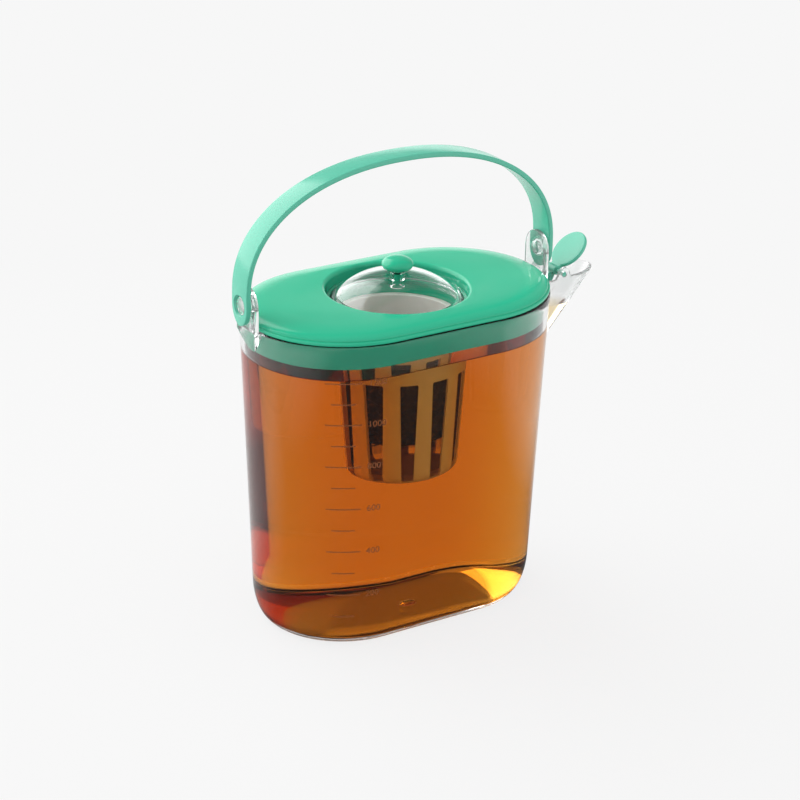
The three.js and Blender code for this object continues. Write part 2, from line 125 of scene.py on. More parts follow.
def arc(start: float, end: float, steps: int) -> list[tuple[float, float]]:
    """Cosine and sine at even steps from one angle to another.

    Args:
        start: First angle, in radians.
        end: Last angle, in radians.
        steps: Number of steps between them.

    Returns:
        One (cosine, sine) pair for each end and step.
    """
    angles = [between(start, end, share) for share in shares(steps)]
    return [(math.cos(angle), math.sin(angle)) for angle in angles]


def linked(name: str, data: ID) -> Object:
    """New object of a mesh, text, lamp or camera, linked to the scene.

    Args:
        name: Name of the object.
        data: What it shows.

    Returns:
        The object.
    """
    made = bpy.data.objects.new(name, data)
    bpy.context.scene.collection.objects.link(made)
    return made


def solid_from(name: str, vertices: Iterable[Vector], faces: Iterable[Sequence[int]]) -> Object:
    """Object of a mesh.

    Args:
        name: Name of the object.
        vertices: The mesh's corners.
        faces: The corners of each face, by number.

    Returns:
        The object.
    """
    mesh = bpy.data.meshes.new(name)
    mesh.from_pydata([tuple(vertex) for vertex in vertices], [], [tuple(face) for face in faces])
    mesh.update()
    return linked(name, mesh)


def skin(name: str, rings: Sequence[Ring], looped: bool = False) -> Object:
    """Closed skin over rings that run the same way round.

    Args:
        name: Name of the object.
        rings: Rings from one end to the other; a ring of one point is a pole.
        looped: True to join the last ring to the first instead of closing both ends.

    Returns:
        The object.
    """
    vertices: list[Vector] = []
    starts: list[int] = []
    for ring in rings:
        starts.append(len(vertices))
        vertices.extend(ring)
    faces: list[list[int]] = []
    pairs = list(zip(range(len(rings)), range(1, len(rings))))
    if looped:
        pairs.append((len(rings) - 1, 0))
    for low, high in pairs:
        count = max(len(rings[low]), len(rings[high]))
        for step in range(count):
            after = (step + 1) % count
            a, b = (starts[low] + (i if len(rings[low]) > 1 else 0) for i in (step, after))
            d, c = (starts[high] + (i if len(rings[high]) > 1 else 0) for i in (step, after))
            faces.append(list(dict.fromkeys((a, b, c, d))))
    if not looped and len(rings[0]) > 1:
        faces.append([starts[0] + step for step in reversed(range(len(rings[0])))])
    if not looped and len(rings[-1]) > 1:
        faces.append([starts[-1] + step for step in range(len(rings[-1]))])
    return solid_from(name, vertices, faces)


def circle(radius: float, height: float, steps: int) -> Ring:
    """Level circle about Z, or one point where the radius is nothing.

    Args:
        radius: Its radius.
        height: Its height.
        steps: Number of its points.

    Returns:
        The ring.
    """
    if radius <= 0:
        return [Vector((0, 0, height))]
    turns = [TURN * step / steps for step in range(steps)]
    return [Vector((radius * math.cos(turn), radius * math.sin(turn), height)) for turn in turns]


def turned(name: str, profile: Profile, steps: int = 192, looped: bool = False) -> Object:
    """Solid of revolution about Z.

    Args:
        name: Name of the object.
        profile: Pairs of radius and height, outside going up.
        steps: Facets round the axis.
        looped: True where the profile closes on itself away from the axis.

    Returns:
        The object.
    """
    return skin(name, [circle(radius, height, steps) for radius, height in profile], looped)


def prism(name: str, outline: Profile, low: float, high: float, across: str) -> Object:
    """Outline extruded across an axis.

    Args:
        name: Name of the object.
        outline: Corners as (first, second) coordinates of the plane across the axis.
        low: Start along the axis.
        high: End along the axis.
        across: "x" for an outline in Y and Z, "y" for one in X and Z, "z" for one in X and Y.

    Returns:
        The object.
    """
    def place(u: float, v: float, along: float) -> Vector:
        """Corner in the axes' own order."""
        return Vector({"x": (along, u, v), "y": (u, along, v), "z": (u, v, along)}[across])

    return turn_outward(skin(name, [[place(u, v, along) for u, v in outline] for along in (low, high)]))


@contextmanager
def editing(mesh: Mesh) -> Iterator[bmesh.types.BMesh]:
    """Opens a mesh for editing, and writes it back at the end.

    Args:
        mesh: The mesh.

    Yields:
        The mesh as it is edited.
    """
    work = bmesh.new()
    work.from_mesh(mesh)
    yield work
    work.to_mesh(mesh)
    work.free()


def turn_outward(made: Object) -> Object:
    """Recalculates a closed mesh's normals so that they point out.

    Args:
        made: Object of the mesh.

    Returns:
        The same object.
    """
    with editing(made.data) as work:
        bmesh.ops.recalc_face_normals(work, faces=work.faces)
    return made


def join(base: Object, tool: Object, how: Join) -> None:
    """Joins a solid with another one, which is used up.

    Args:
        base: Solid that stays.
        tool: Solid that is added, cut away or kept to.
        how: Way to join them.
    """
    modifier = base.modifiers.new("join", "BOOLEAN")
    modifier.operation = how.value
    modifier.solver = "MANIFOLD"
    modifier.object = tool
    bake_modifiers(base)
    discard(tool)


def bake_modifiers(made: Object) -> None:
    """Turns an object's evaluated mesh into its own mesh and removes its modifiers.

    Args:
        made: The object.
    """
    graph = bpy.context.evaluated_depsgraph_get()
    graph.update()
    baked = bpy.data.meshes.new_from_object(made.evaluated_get(graph))
    baked.name = made.name
    made.modifiers.clear()
    old = made.data
    made.data = baked
    if old.users == 0:
        bpy.data.meshes.remove(old)


def discard(*objects: Object) -> None:
    """Removes helper objects from the file."""
    for one in objects:
        bpy.data.objects.remove(one)


def moved(made: Object, matrix: Matrix) -> Object:
    """Applies a matrix to an object's mesh.

    Args:
        made: The object.
        matrix: How its mesh is placed.

    Returns:
        The same object.
    """
    made.data.transform(matrix)
    made.data.update()
    return made


def copy_of(made: Object) -> Object:
    """Copy of an object with a mesh of its own."""
    return linked(made.name, made.data.copy())


def soften(made: Object, width: float) -> None:
    """Rounds a solid's sharp edges.

    Args:
        made: The solid.
        width: Width of the rounding.
    """
    bevel = made.modifiers.new("soften", "BEVEL")
    bevel.width = width
    bevel.segments = BEVEL_STEPS
    bevel.limit_method = "ANGLE"
    bevel.angle_limit = SHARP
    bevel.use_clamp_overlap = True
    bake_modifiers(made)


def weld(made: Object) -> None:
    """Merges corners that lie together and drops flat faces."""
    with editing(made.data) as work:
        bmesh.ops.remove_doubles(work, verts=work.verts, dist=NEAR)
        bmesh.ops.dissolve_degenerate(work, dist=NEAR, edges=work.edges)


def shade(made: Object, corner: float = SHARP) -> None:
    """Smooth shading with sharp edges where faces turn by more than an angle."""
    made.data.shade_smooth()
    made.data.set_sharp_from_angle(angle=corner)


def finish(
    made: Object, body: Body, material: Material, stands_for: Sequence[str] = ()
) -> None:
    """Dresses a piece, puts it on its body and reports it.

    Args:
        made: The piece.
        body: Body that it rides on.
        material: Its finish.
        stands_for: Nodes of the frame that it is shown instead of.
    """
    made.data.materials.clear()
    made.data.materials.append(material)
    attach(made, body.value)
    if stands_for:
        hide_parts(*stands_for)
    LOG.info("%s rides on %s: %d faces", made.name, body.value, len(made.data.polygons))


class TreeBuilder:
    """A node tree that is built a node at a time."""

    def __init__(self, tree: bpy.types.NodeTree) -> None:
        """Takes the tree to build in."""
        self.tree = tree

    def fill(self, socket: NodeSocket, value: object) -> None:
        """Links a socket to another one, or sets its own value.

        Args:
            socket: Input socket.
            value: Output socket or plain value that it takes.
        """
        if isinstance(value, NodeSocket):
            self.tree.links.new(value, socket)
        else:
            socket.default_value = value

    def add(self, kind: str, settings: dict[str, object] | None = None, **values: object) -> Node:
        """Adds a node.

        Args:
            kind: The node's type.
            settings: Its own settings.
            values: Socket names, with underscores for spaces, and what each takes.

        Returns:
            The node.
        """
        made = self.tree.nodes.new(kind)
        for name, value in (settings or {}).items():
            setattr(made, name, value)
        for name, value in values.items():
            self.fill(made.inputs[name.replace("_", " ")], value)
        return made

    def maths(self, operation: str, *values: object) -> NodeSocket:
        """One sum of numbers or sockets.

        Args:
            operation: Name of the sum.
            values: What it takes, in order.

        Returns:
            The result's socket.
        """
        made = self.add("ShaderNodeMath", {"operation": operation})
        for socket, value in zip(made.inputs, values):
            self.fill(socket, value)
        return made.outputs[0]

    def axes(self, vector: NodeSocket) -> bpy.types.NodeOutputs:
        """X, Y and Z sockets of a vector."""
        return self.add("ShaderNodeSeparateXYZ", Vector=vector).outputs


class Shader(TreeBuilder):
    """Node tree of a material or of the world."""

    def __init__(self, owner: Material | World) -> None:
        """Starts an empty tree.

        Args:
            owner: Material or world that the tree is for.
        """
        owner.use_nodes = True
        super().__init__(owner.node_tree)
        self.tree.nodes.clear()
        self.owner = owner
        self.output = self.node("OutputMaterial" if isinstance(owner, Material) else "OutputWorld")

    def node(self, kind: str, settings: dict[str, object] | None = None, **values: object) -> Node:
        """Adds a node whose type is given without its prefix."""
        return self.add("ShaderNode" + kind, settings, **values)

    def place(self) -> NodeSocket:
        """Object coordinates."""
        return self.node("TexCoord").outputs["Object"]

    def noise(self, scale: float, detail: float = 2, rough: float = 0.5) -> NodeSocket:
        """Noise over the object's own coordinates.

        Args:
            scale: Waves for each metre.
            detail: Finer layers that are added.
            rough: How strong the finer layers are.

        Returns:
            The noise's value socket.
        """
        made = self.node("TexNoise", Vector=self.place(), Scale=scale, Detail=detail, Roughness=rough)
        return made.outputs["Fac"]

    def ramp(
        self, value: NodeSocket, start: float, end: float, low: float = 0.0, high: float = 1.0
    ) -> NodeSocket:
        """Value that runs from low to high while another runs from start to end.

        Args:
            value: The other value.
            start: Where the run starts.
            end: Where it ends.
            low: Result up to the start.
            high: Result from the end on.

        Returns:
            The result's socket.
        """
        ends = {"From_Min": start, "From_Max": end, "To_Min": low, "To_Max": high}
        return self.node("MapRange", Value=value, **ends).outputs["Result"]

    def spread(self, value: NodeSocket, low: float, high: float) -> NodeSocket:
        """Noise's middle range spread between two values."""
        return self.ramp(value, NOISE_LOW, NOISE_HIGH, low, high)

    def blend(self, share: NodeSocket, low: Colour, high: Colour) -> NodeSocket:
        """Colour that runs from one to another.

        Args:
            share: Share of the second colour.
            low: First colour.
            high: Second colour.

        Returns:
            The colour's socket.
        """
        made = self.node("Mix", {"data_type": "RGBA"})
        for place, value in zip(MIX_INPUTS, (share, (*low, 1), (*high, 1))):
            self.fill(made.inputs[place], value)
        return made.outputs[MIX_OUTPUT]

    def bump(self, *layers: tuple[NodeSocket, float]) -> NodeSocket:
        """Normal of layers of relief.

        Args:
            layers: Height socket and depth in metres of each.

        Returns:
            The normal's socket.
        """
        normal = None
        for height, depth in layers:
            made = self.node("Bump", Height=height, Distance=depth, Strength=1.0)
            if normal is not None:
                self.fill(made.inputs["Normal"], normal)
            normal = made.outputs["Normal"]
        return normal

    def length(self, vector: NodeSocket) -> NodeSocket:
        """Length of a vector."""
        return self.node("VectorMath", {"operation": "LENGTH"}, Vector=vector).outputs["Value"]

    def product(self, first: NodeSocket, *others: NodeSocket) -> NodeSocket:
        """Product of several values.

        Args:
            first: First value.
            others: What it is multiplied by.

        Returns:
            The product's socket.
        """
        result = first
        for value in others:
            result = self.maths("MULTIPLY", result, value)
        return result

    def mix(self, share: object, low: NodeSocket, high: NodeSocket) -> NodeSocket:
        """Mix of two shaders.

        Args:
            share: Number or socket for the share of the second one.
            low: First shader.
            high: Second shader.

        Returns:
            The mix's socket.
        """
        made = self.node("MixShader")
        for socket, value in zip(made.inputs, (share, low, high)):
            self.fill(socket, value)
        return made.outputs[0]

    def surface(self, shader: NodeSocket) -> Material | World:
        """Puts a shader on the output and returns the material or world."""
        self.fill(self.output.inputs["Surface"], shader)
        return self.owner


def tint(colour: Colour, factor: float) -> Colour:
    """Colour made lighter or darker by a factor."""
    return tuple(min(1.0, part * factor) for part in colour)


@dataclass(frozen=True)
class MouldedPlastic:
    """Opaque moulded plastic, with a faint flow pattern and orange peel.

    Scales are waves for each metre.
    """

    name: str
    colour: Colour
    mottle: float = 0.04
    smooth: float = 0.14
    rough: float = 0.24
    ripple: float = 0.012 * MM
    grain: float = 0.0004 * MM
    refraction: float = 1.49
    flow_scale: float = 26
    peel_scale: float = 900
    gloss_scale: float = 60

    def build(self) -> Material:
        """Makes the material.

        Returns:
            The material.
        """
        shader = Shader(bpy.data.materials.new(self.name))
        flow = shader.noise(self.flow_scale, detail=3)
        peel = shader.noise(self.peel_scale)
        dark, light = (tint(self.colour, 1 + change) for change in (-self.mottle, self.mottle))
        plastic = shader.node(
            "BsdfPrincipled",
            Base_Color=shader.blend(flow, dark, light),
            Roughness=shader.spread(shader.noise(self.gloss_scale, detail=4), self.smooth, self.rough),
            IOR=self.refraction,
            Normal=shader.bump((flow, self.ripple), (peel, self.grain)),
        )
        return shader.surface(plastic.outputs["BSDF"])


@dataclass(frozen=True)
class ClearPlastic:
    """Clear moulded plastic, with faint ripples and fine wear.

    Where tea wets the plastic, refraction is the plastic's index over the tea's. Haze is the
    share of light that thick mouldings scatter. Scales are waves for each metre.
    """

    name: str
    colour: Colour = (0.985, 0.99, 0.99)
    smooth: float = 0.0
    rough: float = 0.035
    ripple: float = 0.02 * MM
    refraction: float = 1.5
    haze: float = 0.0
    cloud: Colour = (0.95, 0.95, 0.95)
    lets_light_in: bool = False
    wave_scale: float = 22
    wear_scale: float = 140

    def build(self) -> Material:
        """Makes the material.

        Returns:
            The material.
        """
        shader = Shader(bpy.data.materials.new(self.name))
        waves = shader.noise(self.wave_scale, detail=1)
        wear = shader.noise(self.wear_scale, detail=6, rough=0.7)
        plastic = shader.node(
            "BsdfPrincipled",
            Base_Color=(*self.colour, 1),
            Roughness=shader.spread(wear, self.smooth, self.rough),
            IOR=self.refraction,
            Transmission_Weight=1.0,
            Normal=shader.bump((waves, self.ripple)),
        ).outputs["BSDF"]
        if self.haze:
            cloud = shader.node("BsdfTranslucent", Color=(*self.cloud, 1))
            plastic = shader.mix(self.haze, plastic, cloud.outputs["BSDF"])
        if self.lets_light_in:
            shade_ray = shader.node("LightPath").outputs["Is Shadow Ray"]
            gap = shader.node("BsdfTransparent", Color=(*self.colour, 1))
            plastic = shader.mix(shade_ray, plastic, gap.outputs["BSDF"])
        return shader.surface(plastic)


@dataclass(frozen=True)
class FrostedPlastic:
    """Natural plastic that light soaks through.

    Soak is the share that does, and scales are waves for each metre.
    """

    name: str
    colour: Colour
    soak: float
    rough: float = 0.42
    rough_spread: float = 0.06
    darkest: float = 0.95
    lightest: float = 1.04
    ripple: float = 0.04 * MM
    refraction: float = 1.46
    flow_scale: float = 40
    gloss_scale: float = 90

    def build(self) -> Material:
        """Makes the material.

        Returns:
            The material.
        """
        shader = Shader(bpy.data.materials.new(self.name))
        flow = shader.noise(self.flow_scale, detail=3)
        gloss = shader.noise(self.gloss_scale, detail=4)
        plastic = shader.node(
            "BsdfPrincipled",
            Base_Color=shader.blend(flow, tint(self.colour, self.darkest), tint(self.colour, self.lightest)),
            Roughness=shader.spread(gloss, self.rough - self.rough_spread, self.rough + self.rough_spread),
            IOR=self.refraction,
            Normal=shader.bump((flow, self.ripple)),
        )
        through = shader.node("BsdfTranslucent", Color=(*self.colour, 1))
        return shader.surface(shader.mix(self.soak, plastic.outputs["BSDF"], through.outputs["BSDF"]))


@dataclass(frozen=True)
class Brew:
    """Clear tea that darkens with depth, and bends light at its level surface alone.

    Its sides touch the jug, whose wetted wall bends the light there. A face counts as a side
    while the upright part of its normal is under side, and as the surface over level.
    """

    name: str
    colour: Colour
    density: float
    refraction: float = 1.333
    side: float = 0.14
    level: float = 0.16
    lowest_surface: float = 120 * MM

    def build(self) -> Material:
        """Makes the material.

        Returns:
            The material.
        """
        shader = Shader(bpy.data.materials.new(self.name))
        tilt = shader.axes(shader.node("NewGeometry").outputs["True Normal"])["Z"]
        height = shader.axes(shader.place())["Z"]
        on_top = shader.product(
            shader.ramp(shader.maths("ABSOLUTE", tilt), self.side, self.level),
            shader.ramp(height, self.lowest_surface, self.lowest_surface + MM),
        )
        liquid = shader.node(
            "BsdfPrincipled",
            Base_Color=(1, 1, 1, 1),
            Roughness=0.0,
            IOR=self.refraction,
            Transmission_Weight=1.0,
        )
        shader.fill(liquid.inputs["IOR"], shader.ramp(on_top, 0.0, 1.0, 1.0, self.refraction))
        depth = shader.node("VolumeAbsorption", Color=(*self.colour, 1), Density=self.density)
        shader.fill(shader.output.inputs["Volume"], depth.outputs["Volume"])
        return shader.surface(liquid.outputs["BSDF"])


@dataclass(frozen=True)
class DullStuff:
    """Matt stuff of two mixed colours, for marks, wire and leaves.

    Scale is waves for each metre.
    """

    name: str
    dark: Colour
    light: Colour
    scale: float
    rough: float = 0.5
    rough_spread: float = 0.12
    relief: float = 0.02 * MM

    def build(self) -> Material:
        """Makes the material.

        Returns:
            The material.
        """
        shader = Shader(bpy.data.materials.new(self.name))
        speckle = shader.noise(self.scale, detail=3)
        stuff = shader.node(
            "BsdfPrincipled",
            Base_Color=shader.blend(speckle, self.dark, self.light),
            Roughness=shader.spread(speckle, self.rough - self.rough_spread, self.rough + self.rough_spread),
            Normal=shader.bump((speckle, self.relief)),
        )
        return shader.surface(stuff.outputs["BSDF"])


@dataclass(frozen=True)
class Outline:
    """Tapered outline of the jug: flat sides and round ends."""

    rim_half_length: float = 75 * MM
    rim_half_width: float = 45.7 * MM
    rim_height: float = 149.7 * MM
    foot_half_length: float = 68.7 * MM
    foot_half_width: float = 40.8 * MM
    end_share: float = 1.05
    end_steps: int = 72

    def half_length(self, height: float) -> float:
        """Half-length of the outside at a height."""
        return between(self.foot_half_length, self.rim_half_length, height / self.rim_height)

    def half_width(self, height: float) -> float:
        """Half-width of the outside at a height."""
        return between(self.foot_half_width, self.rim_half_width, height / self.rim_height)

    def level(self, half_length: float, half_width: float, height: float) -> Ring:
        """One level ring with a half-length and a half-width.

        Args:
            half_length: Half-length in X.
            half_width: Half-width in Y.
            height: Its height.

        Returns:
            The ring.
        """
        reach = self.end_share * half_width
        ring: Ring = []
        for side in (1, -1):
            for cosine, sine in arc(-QUARTER, QUARTER, self.end_steps):
                x = side * (half_length - reach + reach * cosine)
                ring.append(Vector((x, side * half_width * sine, height)))
        return ring

    def ring(self, inset: float, height: float) -> Ring:
        """Ring of the tapered wall at a height, drawn in by an inset."""
        return self.level(self.half_length(height) - inset, self.half_width(height) - inset, height)

    def rim_ring(self, inset: float, height: float) -> Ring:
        """Ring of the rim's size at any height, drawn in by an inset."""
        return self.level(self.rim_half_length - inset, self.rim_half_width - inset, height)

    def on_end(self, angle: float, proud: float, height: float) -> Vector:
        """Point on the round end away from the spout.

        Args:
            angle: Angle from the front of the wall towards that end.
            proud: How far the point stands out from the wall.
            height: Its height.

        Returns:
            The point.
        """
        half_width = self.half_width(height) + proud
        reach = self.end_share * half_width
        middle = self.half_length(height) + proud - reach
        return Vector((-middle - reach * math.sin(angle), -half_width * math.cos(angle), height))


@dataclass
class Jug:
    """Clear jug, moulded in one with its spout, cheeks, ears and studs."""

    outline: Outline
    wall: float = 1.8 * MM
    floor: float = 3 * MM
    foot_round_height: float = 16 * MM
    foot_round_width: float = 6 * MM
    floor_round: float = 2 * MM
    waterline: float = 133.85 * MM
    gate_radius: float = 4.2 * MM
    gate_depth: float = 0.9 * MM
    foot_edge: float = 2.2 * MM
    level_share: float = 0.98
    score: float = 0.02 * MM
    foot_steps: int = 20
    wall_steps: int = 10
    top_steps: int = 4
    channel_steps: int = 10
    spout_steps: int = 12
    spout_end_steps: int = 56
    toe_height: float = 105.8 * MM
    toe_half_width: float = 4 * MM
    toe_sink: float = 0.3 * MM
    spout_reach: float = 31.7 * MM
    tip_drop: float = 1.1 * MM
    mouth_half_width: float = 9.6 * MM
    mouth_rise: float = 2.2 * MM
    spout_wall: float = 1.7 * MM
    nose_share: float = 1.5
    port_drop: float = 14 * MM
    channel_start_share: float = 0.04
    pivot_rise: float = 11.4 * MM
    ear_radius: float = 8.3 * MM
    ear_thickness: float = 2.2 * MM
    ear_stand_off: float = 0.2 * MM
    ear_foot_drop: float = 12.4 * MM
    ear_foot_sink: float = 1.4 * MM
    ear_shoulder_drop: float = 2 * MM
    ear_play: float = 0.7 * MM
    ear_edge: float = 0.45 * MM
    strap_thickness: float = 2.4 * MM
    strap_recess: float = 0.6 * MM
    stud_radius: float = 4 * MM
    stud_core_radius: float = 3 * MM
    stud_face_wall: float = 1.3 * MM
    stud_edge: float = 0.5 * MM
    hinge_reach: float = 11 * MM
    hinge_rise: float = 1.44 * MM
    cheek_radius: float = 3.3 * MM
    cheek_edge: float = 0.3 * MM
    pin_radius: float = 1.1 * MM

    @property
    def pivot_height(self) -> float:
        """Height of the handle's pivot."""
        return self.outline.rim_height + self.pivot_rise

    @property
    def strap_half_length(self) -> float:
        """Half-length of the handle over its strap."""
        ear = self.ear_stand_off + self.ear_thickness + self.ear_play
        return self.outline.rim_half_length + ear + self.strap_thickness

    @property
    def tip(self) -> float:
        """X of the spout's tip."""
        return self.outline.rim_half_length + self.spout_reach

    @property
    def tip_height(self) -> float:
        """Height of the spout's tip."""
        return self.outline.rim_height - self.tip_drop

    @property
    def mouth_slope(self) -> float:
        """Slope of the spout's mouth."""
        return self.mouth_rise / self.spout_reach

    @property
    def hinge(self) -> Vector:
        """Middle of the flap's hinge."""
        x = self.outline.rim_half_length + self.hinge_reach
        return Vector((x, 0, self.tip_height - self.mouth_slope * (self.tip - x) + self.hinge_rise))

    def foot_inset(self, height: float) -> float:
        """How far the foot's rounding draws the jug in at a height."""
        below = max(1 - height / self.foot_round_height, 0)
        return self.foot_round_width * (1 - math.sqrt(1 - below**2))

    def heights(self, top: float) -> list[float]:
        """Heights of the tub's rings: close in the foot, and one at the waterline.

        Args:
            top: Height of the last ring.

        Returns:
            The heights, going up.
        """
        foot = [self.foot_round_height * (1 - cosine) for cosine, _ in arc(0, QUARTER, self.foot_steps)]
        wall = [between(foot[-1], self.waterline, share) for share in shares(self.wall_steps)[1:]]
        above = [between(self.waterline, top, share) for share in shares(self.top_steps)[1:]]
        return [*foot, *wall, *(above if top > self.waterline else ())]

    def outer_rings(self, top: float) -> list[Ring]:
        """Rings of the tub's outside, from its foot up to a height."""
        return [self.outline.ring(self.foot_inset(height), height) for height in self.heights(top)]

    def inner_rings(self, top: float, soak: float = 0) -> list[Ring]:
        """Rings of the tub's inside, from its level floor up to a height.

        Args:
            top: Height of the last ring.
            soak: How far the rings lie inside the plastic.

        Returns:
            The rings.
        """
        inset = self.wall - soak
        bottom = self.floor - soak
        radius = self.floor_round
        rise = self.foot_inset(bottom + radius / 2) - self.foot_inset(bottom + radius)
        lean = math.atan2(rise, radius / 2)
        corner = arc(0, QUARTER - lean, steps=10)
        cosine_end, sine_end = corner[-1]
        corner_top = bottom + radius * (1 - cosine_end)
        start = inset + self.foot_inset(corner_top) + radius * sine_end
        rings = [
            self.outline.ring(start - radius * sine, bottom + radius * (1 - cosine))
            for cosine, sine in corner
        ]
        for height in self.heights(top):
            if height > corner_top + GAP:
                rings.append(self.outline.ring(inset + self.foot_inset(height), height))
        return rings

    def spout_ring(self, share: float, inset: float, lift: float, root_gap: float = 0) -> Ring:
        """One ring of the spout.

        Args:
            share: Share of the way from the toe to the mouth.
            inset: How far the ring is drawn in.
            lift: Height added to the ring.
            root_gap: How far the ring's back stays from the others' back.

        Returns:
            The ring.
        """
        lean = math.hypot(1, self.spout_reach / (self.tip_height - self.toe_height))
        half_width = between(self.toe_half_width, self.mouth_half_width, share) - inset
        toe = self.outline.half_length(self.toe_height) - self.toe_sink
        nose = between(toe, self.tip, share) - inset * lean
        reach = self.nose_share * half_width
        root = toe - self.spout_reach / 2 + root_gap
        base = between(self.toe_height, self.tip_height, share)

        def place(x: float, y: float) -> Vector:
            """Point on the ring's sloping plane."""
            return Vector((x, y, base + share * self.mouth_slope * (x - self.tip) + lift))

        ring = [place(root, -half_width)]
        for cosine, sine in arc(-QUARTER, QUARTER, self.spout_end_steps):
            ring.append(place(nose - reach + reach * cosine, half_width * sine))
        ring.append(place(root, half_width))
        return ring

    def channel(self, name: str, inset: float, top: float) -> Object:
        """Solid of the space inside the spout, up to a height.

        Args:
            name: Its name.
            inset: How far it lies inside the spout's outside.
            top: Height that it is cut at.

        Returns:
            The solid.
        """
        rises = [between(self.channel_start_share, 1, share) for share in shares(self.channel_steps)]
        rings = [self.spout_ring(rise, inset, 0) for rise in rises]
        rings.append(self.spout_ring(1, inset, OVERRUN))
        made = skin(name, rings)
        join(made, prism("below", square(self.tip + OVERRUN), 0, top, "z"), Join.KEEP)
        return made

    def spout(self, cavity: Object) -> Object:
        """Spout as a cup with a rounded lip, cut back to the tub's wall.

        Args:
            cavity: Inside of the tub, which is left whole.

        Returns:
            The spout.
        """
        lip = self.spout_wall / 2
        rings = [self.spout_ring(share, 0, -lip * share) for share in shares(self.spout_steps)]
        for cosine, sine in arc(math.pi, 0, steps=10)[1:]:
            rings.append(self.spout_ring(1, lip * (1 + cosine), lip * (sine - 1), self.wall))
        for share in reversed(shares(self.spout_steps)[:-1]):
            rise = between(self.channel_start_share, 1, share)
            rings.append(self.spout_ring(rise, self.spout_wall, -lip * rise, self.wall))
        cup = skin("spout_cup", rings)
        join(cup, copy_of(cavity), Join.CUT)
        return cup

    def ear(self) -> Object:
        """Ear at the spout end, with its hollow stud.

        Returns:
            The ear.
        """
        inner = self.outline.rim_half_length + self.ear_stand_off
        outer = inner + self.ear_thickness
        rim = self.outline.rim_height
        foot = rim - self.ear_foot_drop
        root = self.outline.half_length(foot)
        shoulder = rim - self.ear_shoulder_drop
        top = self.pivot_height + self.ear_radius + OVERRUN
        side = [
            (inner, rim),
            (self.outline.rim_half_length - self.ear_foot_sink, rim),
            (root - self.ear_foot_sink, foot),
            (root - self.ear_foot_sink / 2, foot),
            (outer, shoulder),
            (outer, top),
            (inner, top),
        ]
        front = [(self.ear_shoulder_drop, foot), (self.ear_radius, shoulder)]
        for cosine, sine in arc(0, math.pi, steps=40):
            front.append((self.ear_radius * cosine, self.pivot_height + self.ear_radius * sine))
        front += [(-self.ear_radius, shoulder), (-self.ear_shoulder_drop, foot)]
        reach = self.ear_radius + OVERRUN
        plate = prism("ear", side, -reach, reach, "y")
        join(plate, prism("front", front, inner - OVERRUN, outer + OVERRUN, "x"), Join.KEEP)
        soften(plate, self.ear_edge)
        face = self.strap_half_length - self.strap_recess
        back = outer - self.ear_thickness / 2
        profile = [(0, back), (self.stud_radius, back)]
        for cosine, sine in arc(0, QUARTER, steps=5):
            away = self.stud_edge * (1 - cosine)
            profile.append((self.stud_radius - away, face - self.stud_edge * (1 - sine)))
        profile.append((0, face))
        across = Matrix.Translation((0, 0, self.pivot_height)) @ Matrix.Rotation(QUARTER, 4, "Y")
        join(plate, moved(turned("stud", profile, steps=64), across), Join.ADD)
        core = [
            (0, inner - OVERRUN),
            (self.stud_core_radius, inner - OVERRUN),
            (self.stud_core_radius, face - self.stud_face_wall),
            (0, face - self.stud_face_wall),
        ]
        join(plate, moved(turned("core", core, steps=64), across), Join.CUT)
        return plate

    def cheeks(self) -> Object:
        """The two cheeks on the spout's sides, with their pin holes.

        Returns:
            The cheeks, as one solid.
        """
        hinge = self.hinge
        foot = hinge.z - 2 * self.cheek_radius
        outline = [(hinge.x - 2 * self.cheek_radius, foot), (hinge.x + 2 * self.cheek_radius, foot)]
        for cosine, sine in arc(0, math.pi, steps=24):
            outline.append((hinge.x + self.cheek_radius * cosine, hinge.z + self.cheek_radius * sine))
        outside = self.mouth_half_width - GAP / 2
        inside = outside - self.spout_wall
        pair = prism("cheek", outline, inside, outside, "y")
        join(pair, prism("cheek_far", outline, -outside, -inside, "y"), Join.ADD)
        soften(pair, self.cheek_edge)
        hole_radius = self.pin_radius + GAP
        hole = [
            (hinge.x + hole_radius * cosine, hinge.z + hole_radius * sine)
            for cosine, sine in arc(0, TURN, steps=32)[:-1]
        ]
        join(pair, prism("hole", hole, -outside - OVERRUN, outside + OVERRUN, "y"), Join.CUT)
        return pair

    def kind_of(self, probe: Vector, normal: Vector, tea: BVHTree) -> JugFace:
        """Finish that a face of the jug takes.

        Args:
            probe: Point a little off its middle.
            normal: The face's normal.
            tea: Surface of the tea.

        Returns:
            Its kind.
        """
        place, outward, _, _ = tea.find_nearest(probe)
        if probe.z < self.waterline and (probe - place).dot(outward) < 0:
            return JugFace.WETTED
        if abs(probe.x) - self.outline.half_length(probe.z) > GAP + self.ear_stand_off:
            return JugFace.HAZY
        if probe.z < self.foot_edge and abs(normal.z) < self.level_share:
            return JugFace.EDGE_LIT
        return JugFace.PLAIN

    def sort_faces(self, made: Object, tea: Object) -> None:
        """Gives the faces that tea touches, and the spout, ears and foot, finishes of their own.

        Args:
            made: The jug.
            tea: Solid of the tea.
        """
        tree = BVHTree.FromObject(tea, bpy.context.evaluated_depsgraph_get())
        with editing(made.data) as work:
            parts = [*work.verts, *work.edges, *work.faces]
            level = {"plane_co": (0, 0, self.waterline), "plane_no": (0, 0, 1)}
            bmesh.ops.bisect_plane(work, geom=parts, dist=self.score, **level)
            for face in work.faces:
                probe = face.calc_center_median() + face.normal * GAP
                face.material_index = self.kind_of(probe, face.normal, tree).value

